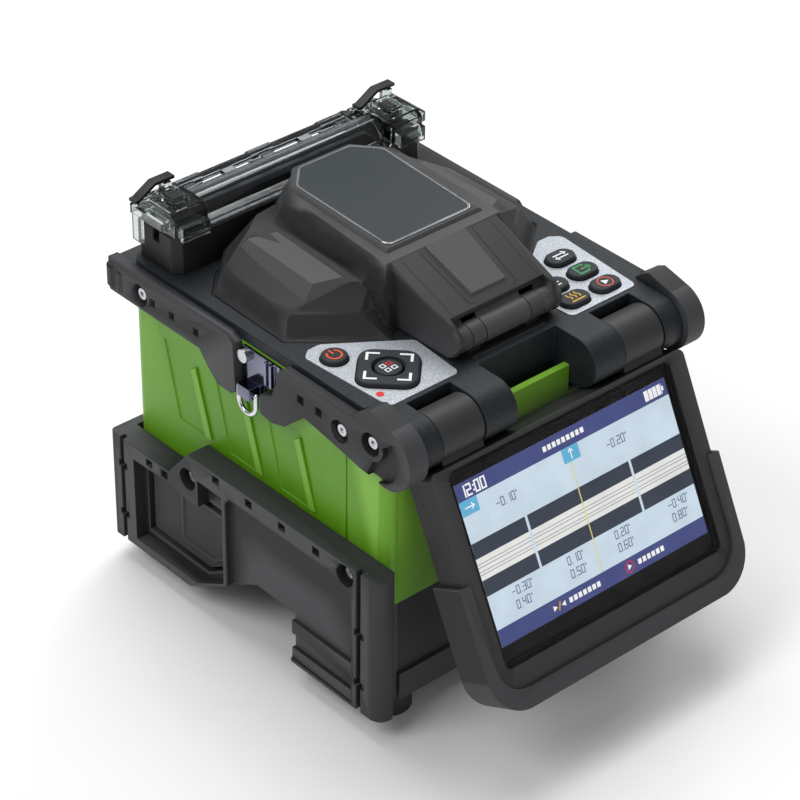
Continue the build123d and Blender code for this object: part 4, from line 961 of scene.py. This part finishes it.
def brick(bm, x, y, z, inset=0.3):
    """A small block given by its spans, its top drawn in by an inset."""
    low = [(x[0], y[0], z[0]), (x[1], y[0], z[0]), (x[1], y[1], z[0]), (x[0], y[1], z[0])]
    top = [(x[0] + inset, y[0] + inset, z[1]), (x[1] - inset, y[0] + inset, z[1])]
    top += [(x[1] - inset, y[1] - inset, z[1]), (x[0] + inset, y[1] - inset, z[1])]
    loft_faces(bm, [low, top])


def clamp_pads(side_name, middle):
    """The dark pads that press on the sleeve, and the tab in the clamp's top."""
    bm = bmesh.new()
    for half, across, up, inset in PADS + (TOP_TAB,):
        brick(bm, (middle - half, middle + half), across, up, inset)
    round_edges(bm, **INSERT_EDGE)
    finish_mesh(f"clamp_pads_{side_name}", bm, "black_socket", f"heater_clamp_{side_name}", INSERT_SMOOTH)


def clamp_springs(side_name, middle):
    """The two spring blocks behind the clamp's clear wall."""
    bm = bmesh.new()
    brick(bm, (middle - SPRING_TO, middle - SPRING_FROM), SPRING_ACROSS, SPRING_UP)
    brick(bm, (middle + SPRING_FROM, middle + SPRING_TO), SPRING_ACROSS, SPRING_UP)
    round_edges(bm, **INSERT_EDGE)
    finish_mesh(f"clamp_springs_{side_name}", bm, "alloy", f"heater_clamp_{side_name}", INSERT_SMOOTH)


for side_name, side in SIDES.items():
    low, high = box_of(f"heater_clamp_{side_name}")
    inner_end = high.x if side < 0 else low.x
    middle = inner_end + side * CLAMP_INSET
    clamp_pads(side_name, middle)
    clamp_springs(side_name, middle)

# ------------------------------------------------------------------ camera, light and floor

# Metres from here on
CAMERA_PLACE = (-0.6038, -0.6531, 0.6903)
CAMERA_RIGHT = Vector((0.7483, -0.6633, 0.0098))
CAMERA_BACK = Vector((-0.5512, -0.6136, 0.5655))
LENS = 142.4  # millimetres, on a sensor 36 wide
FLOOR_HALF = 6
WORLD_STRENGTH = 0.24
# Each light: its place, the height it looks at, its size and its power in watts
LIGHTS = {
    "key": ((-1.1, 0.1, 1.3), 0.08, 0.9, 10),
    "top": ((0.25, 0.55, 1.5), 0.1, 1.2, 18),
    "front": ((-0.35, -1.5, 0.55), 0.08, 0.8, 3),
    "rim": ((1.3, 0.6, 0.9), 0.1, 0.7, 6),
}


def set_camera():
    """A long lens from the front left, which looks down on the machine."""
    data = bpy.data.cameras.new("camera")
    data.lens = LENS
    data.sensor_width = 36.0
    data.clip_start = 0.05
    back = CAMERA_BACK.normalized()
    right = (CAMERA_RIGHT - back * CAMERA_RIGHT.dot(back)).normalized()
    turn = Matrix((right, back.cross(right), back)).transposed().to_4x4()
    camera = add_object("camera", data)
    camera.matrix_world = Matrix.Translation(CAMERA_PLACE) @ turn
    bpy.context.scene.camera = camera


def area_light(name, place, target, size, power):
    """A square soft light that faces a target."""
    data = bpy.data.lights.new(name, "AREA")
    data.shape = "RECTANGLE"
    data.size = size
    data.size_y = size
    data.energy = power
    light = add_object(name, data)
    light.location = place
    light.rotation_euler = (Vector(target) - Vector(place)).to_track_quat("-Z", "Y").to_euler()


def set_world():
    """An even white surround."""
    world = bpy.data.worlds.new("world")
    bpy.context.scene.world = world
    world.use_nodes = True
    background = world.node_tree.nodes["Background"]
    background.inputs["Color"].default_value = (1, 1, 1, 1)
    background.inputs["Strength"].default_value = WORLD_STRENGTH


def set_floor():
    """A wide, pale, plain floor."""
    mat, nodes, links, bsdf = new_material("floor")
    patches = noise(nodes, links, scale=8, detail=2)
    pale = ramp(nodes, links, patches, [(0.2, (0.93, 0.93, 0.93, 1)), (0.8, (0.95, 0.95, 0.95, 1))])
    links.new(pale, bsdf.inputs["Base Color"])
    bsdf.inputs["Roughness"].default_value = 0.9
    bm = bmesh.new()
    bmesh.ops.create_grid(bm, x_segments=8, y_segments=8, size=FLOOR_HALF)
    mesh = bpy.data.meshes.new("floor")
    bm.to_mesh(mesh)
    bm.free()
    mesh.materials.append(mat)
    add_object("floor", mesh)


set_camera()
for name, (place, height, size, power) in LIGHTS.items():
    area_light(name, place, (0, 0, height), size, power)
set_world()
set_floor()
bpy.context.scene.view_settings.view_transform = "Standard"
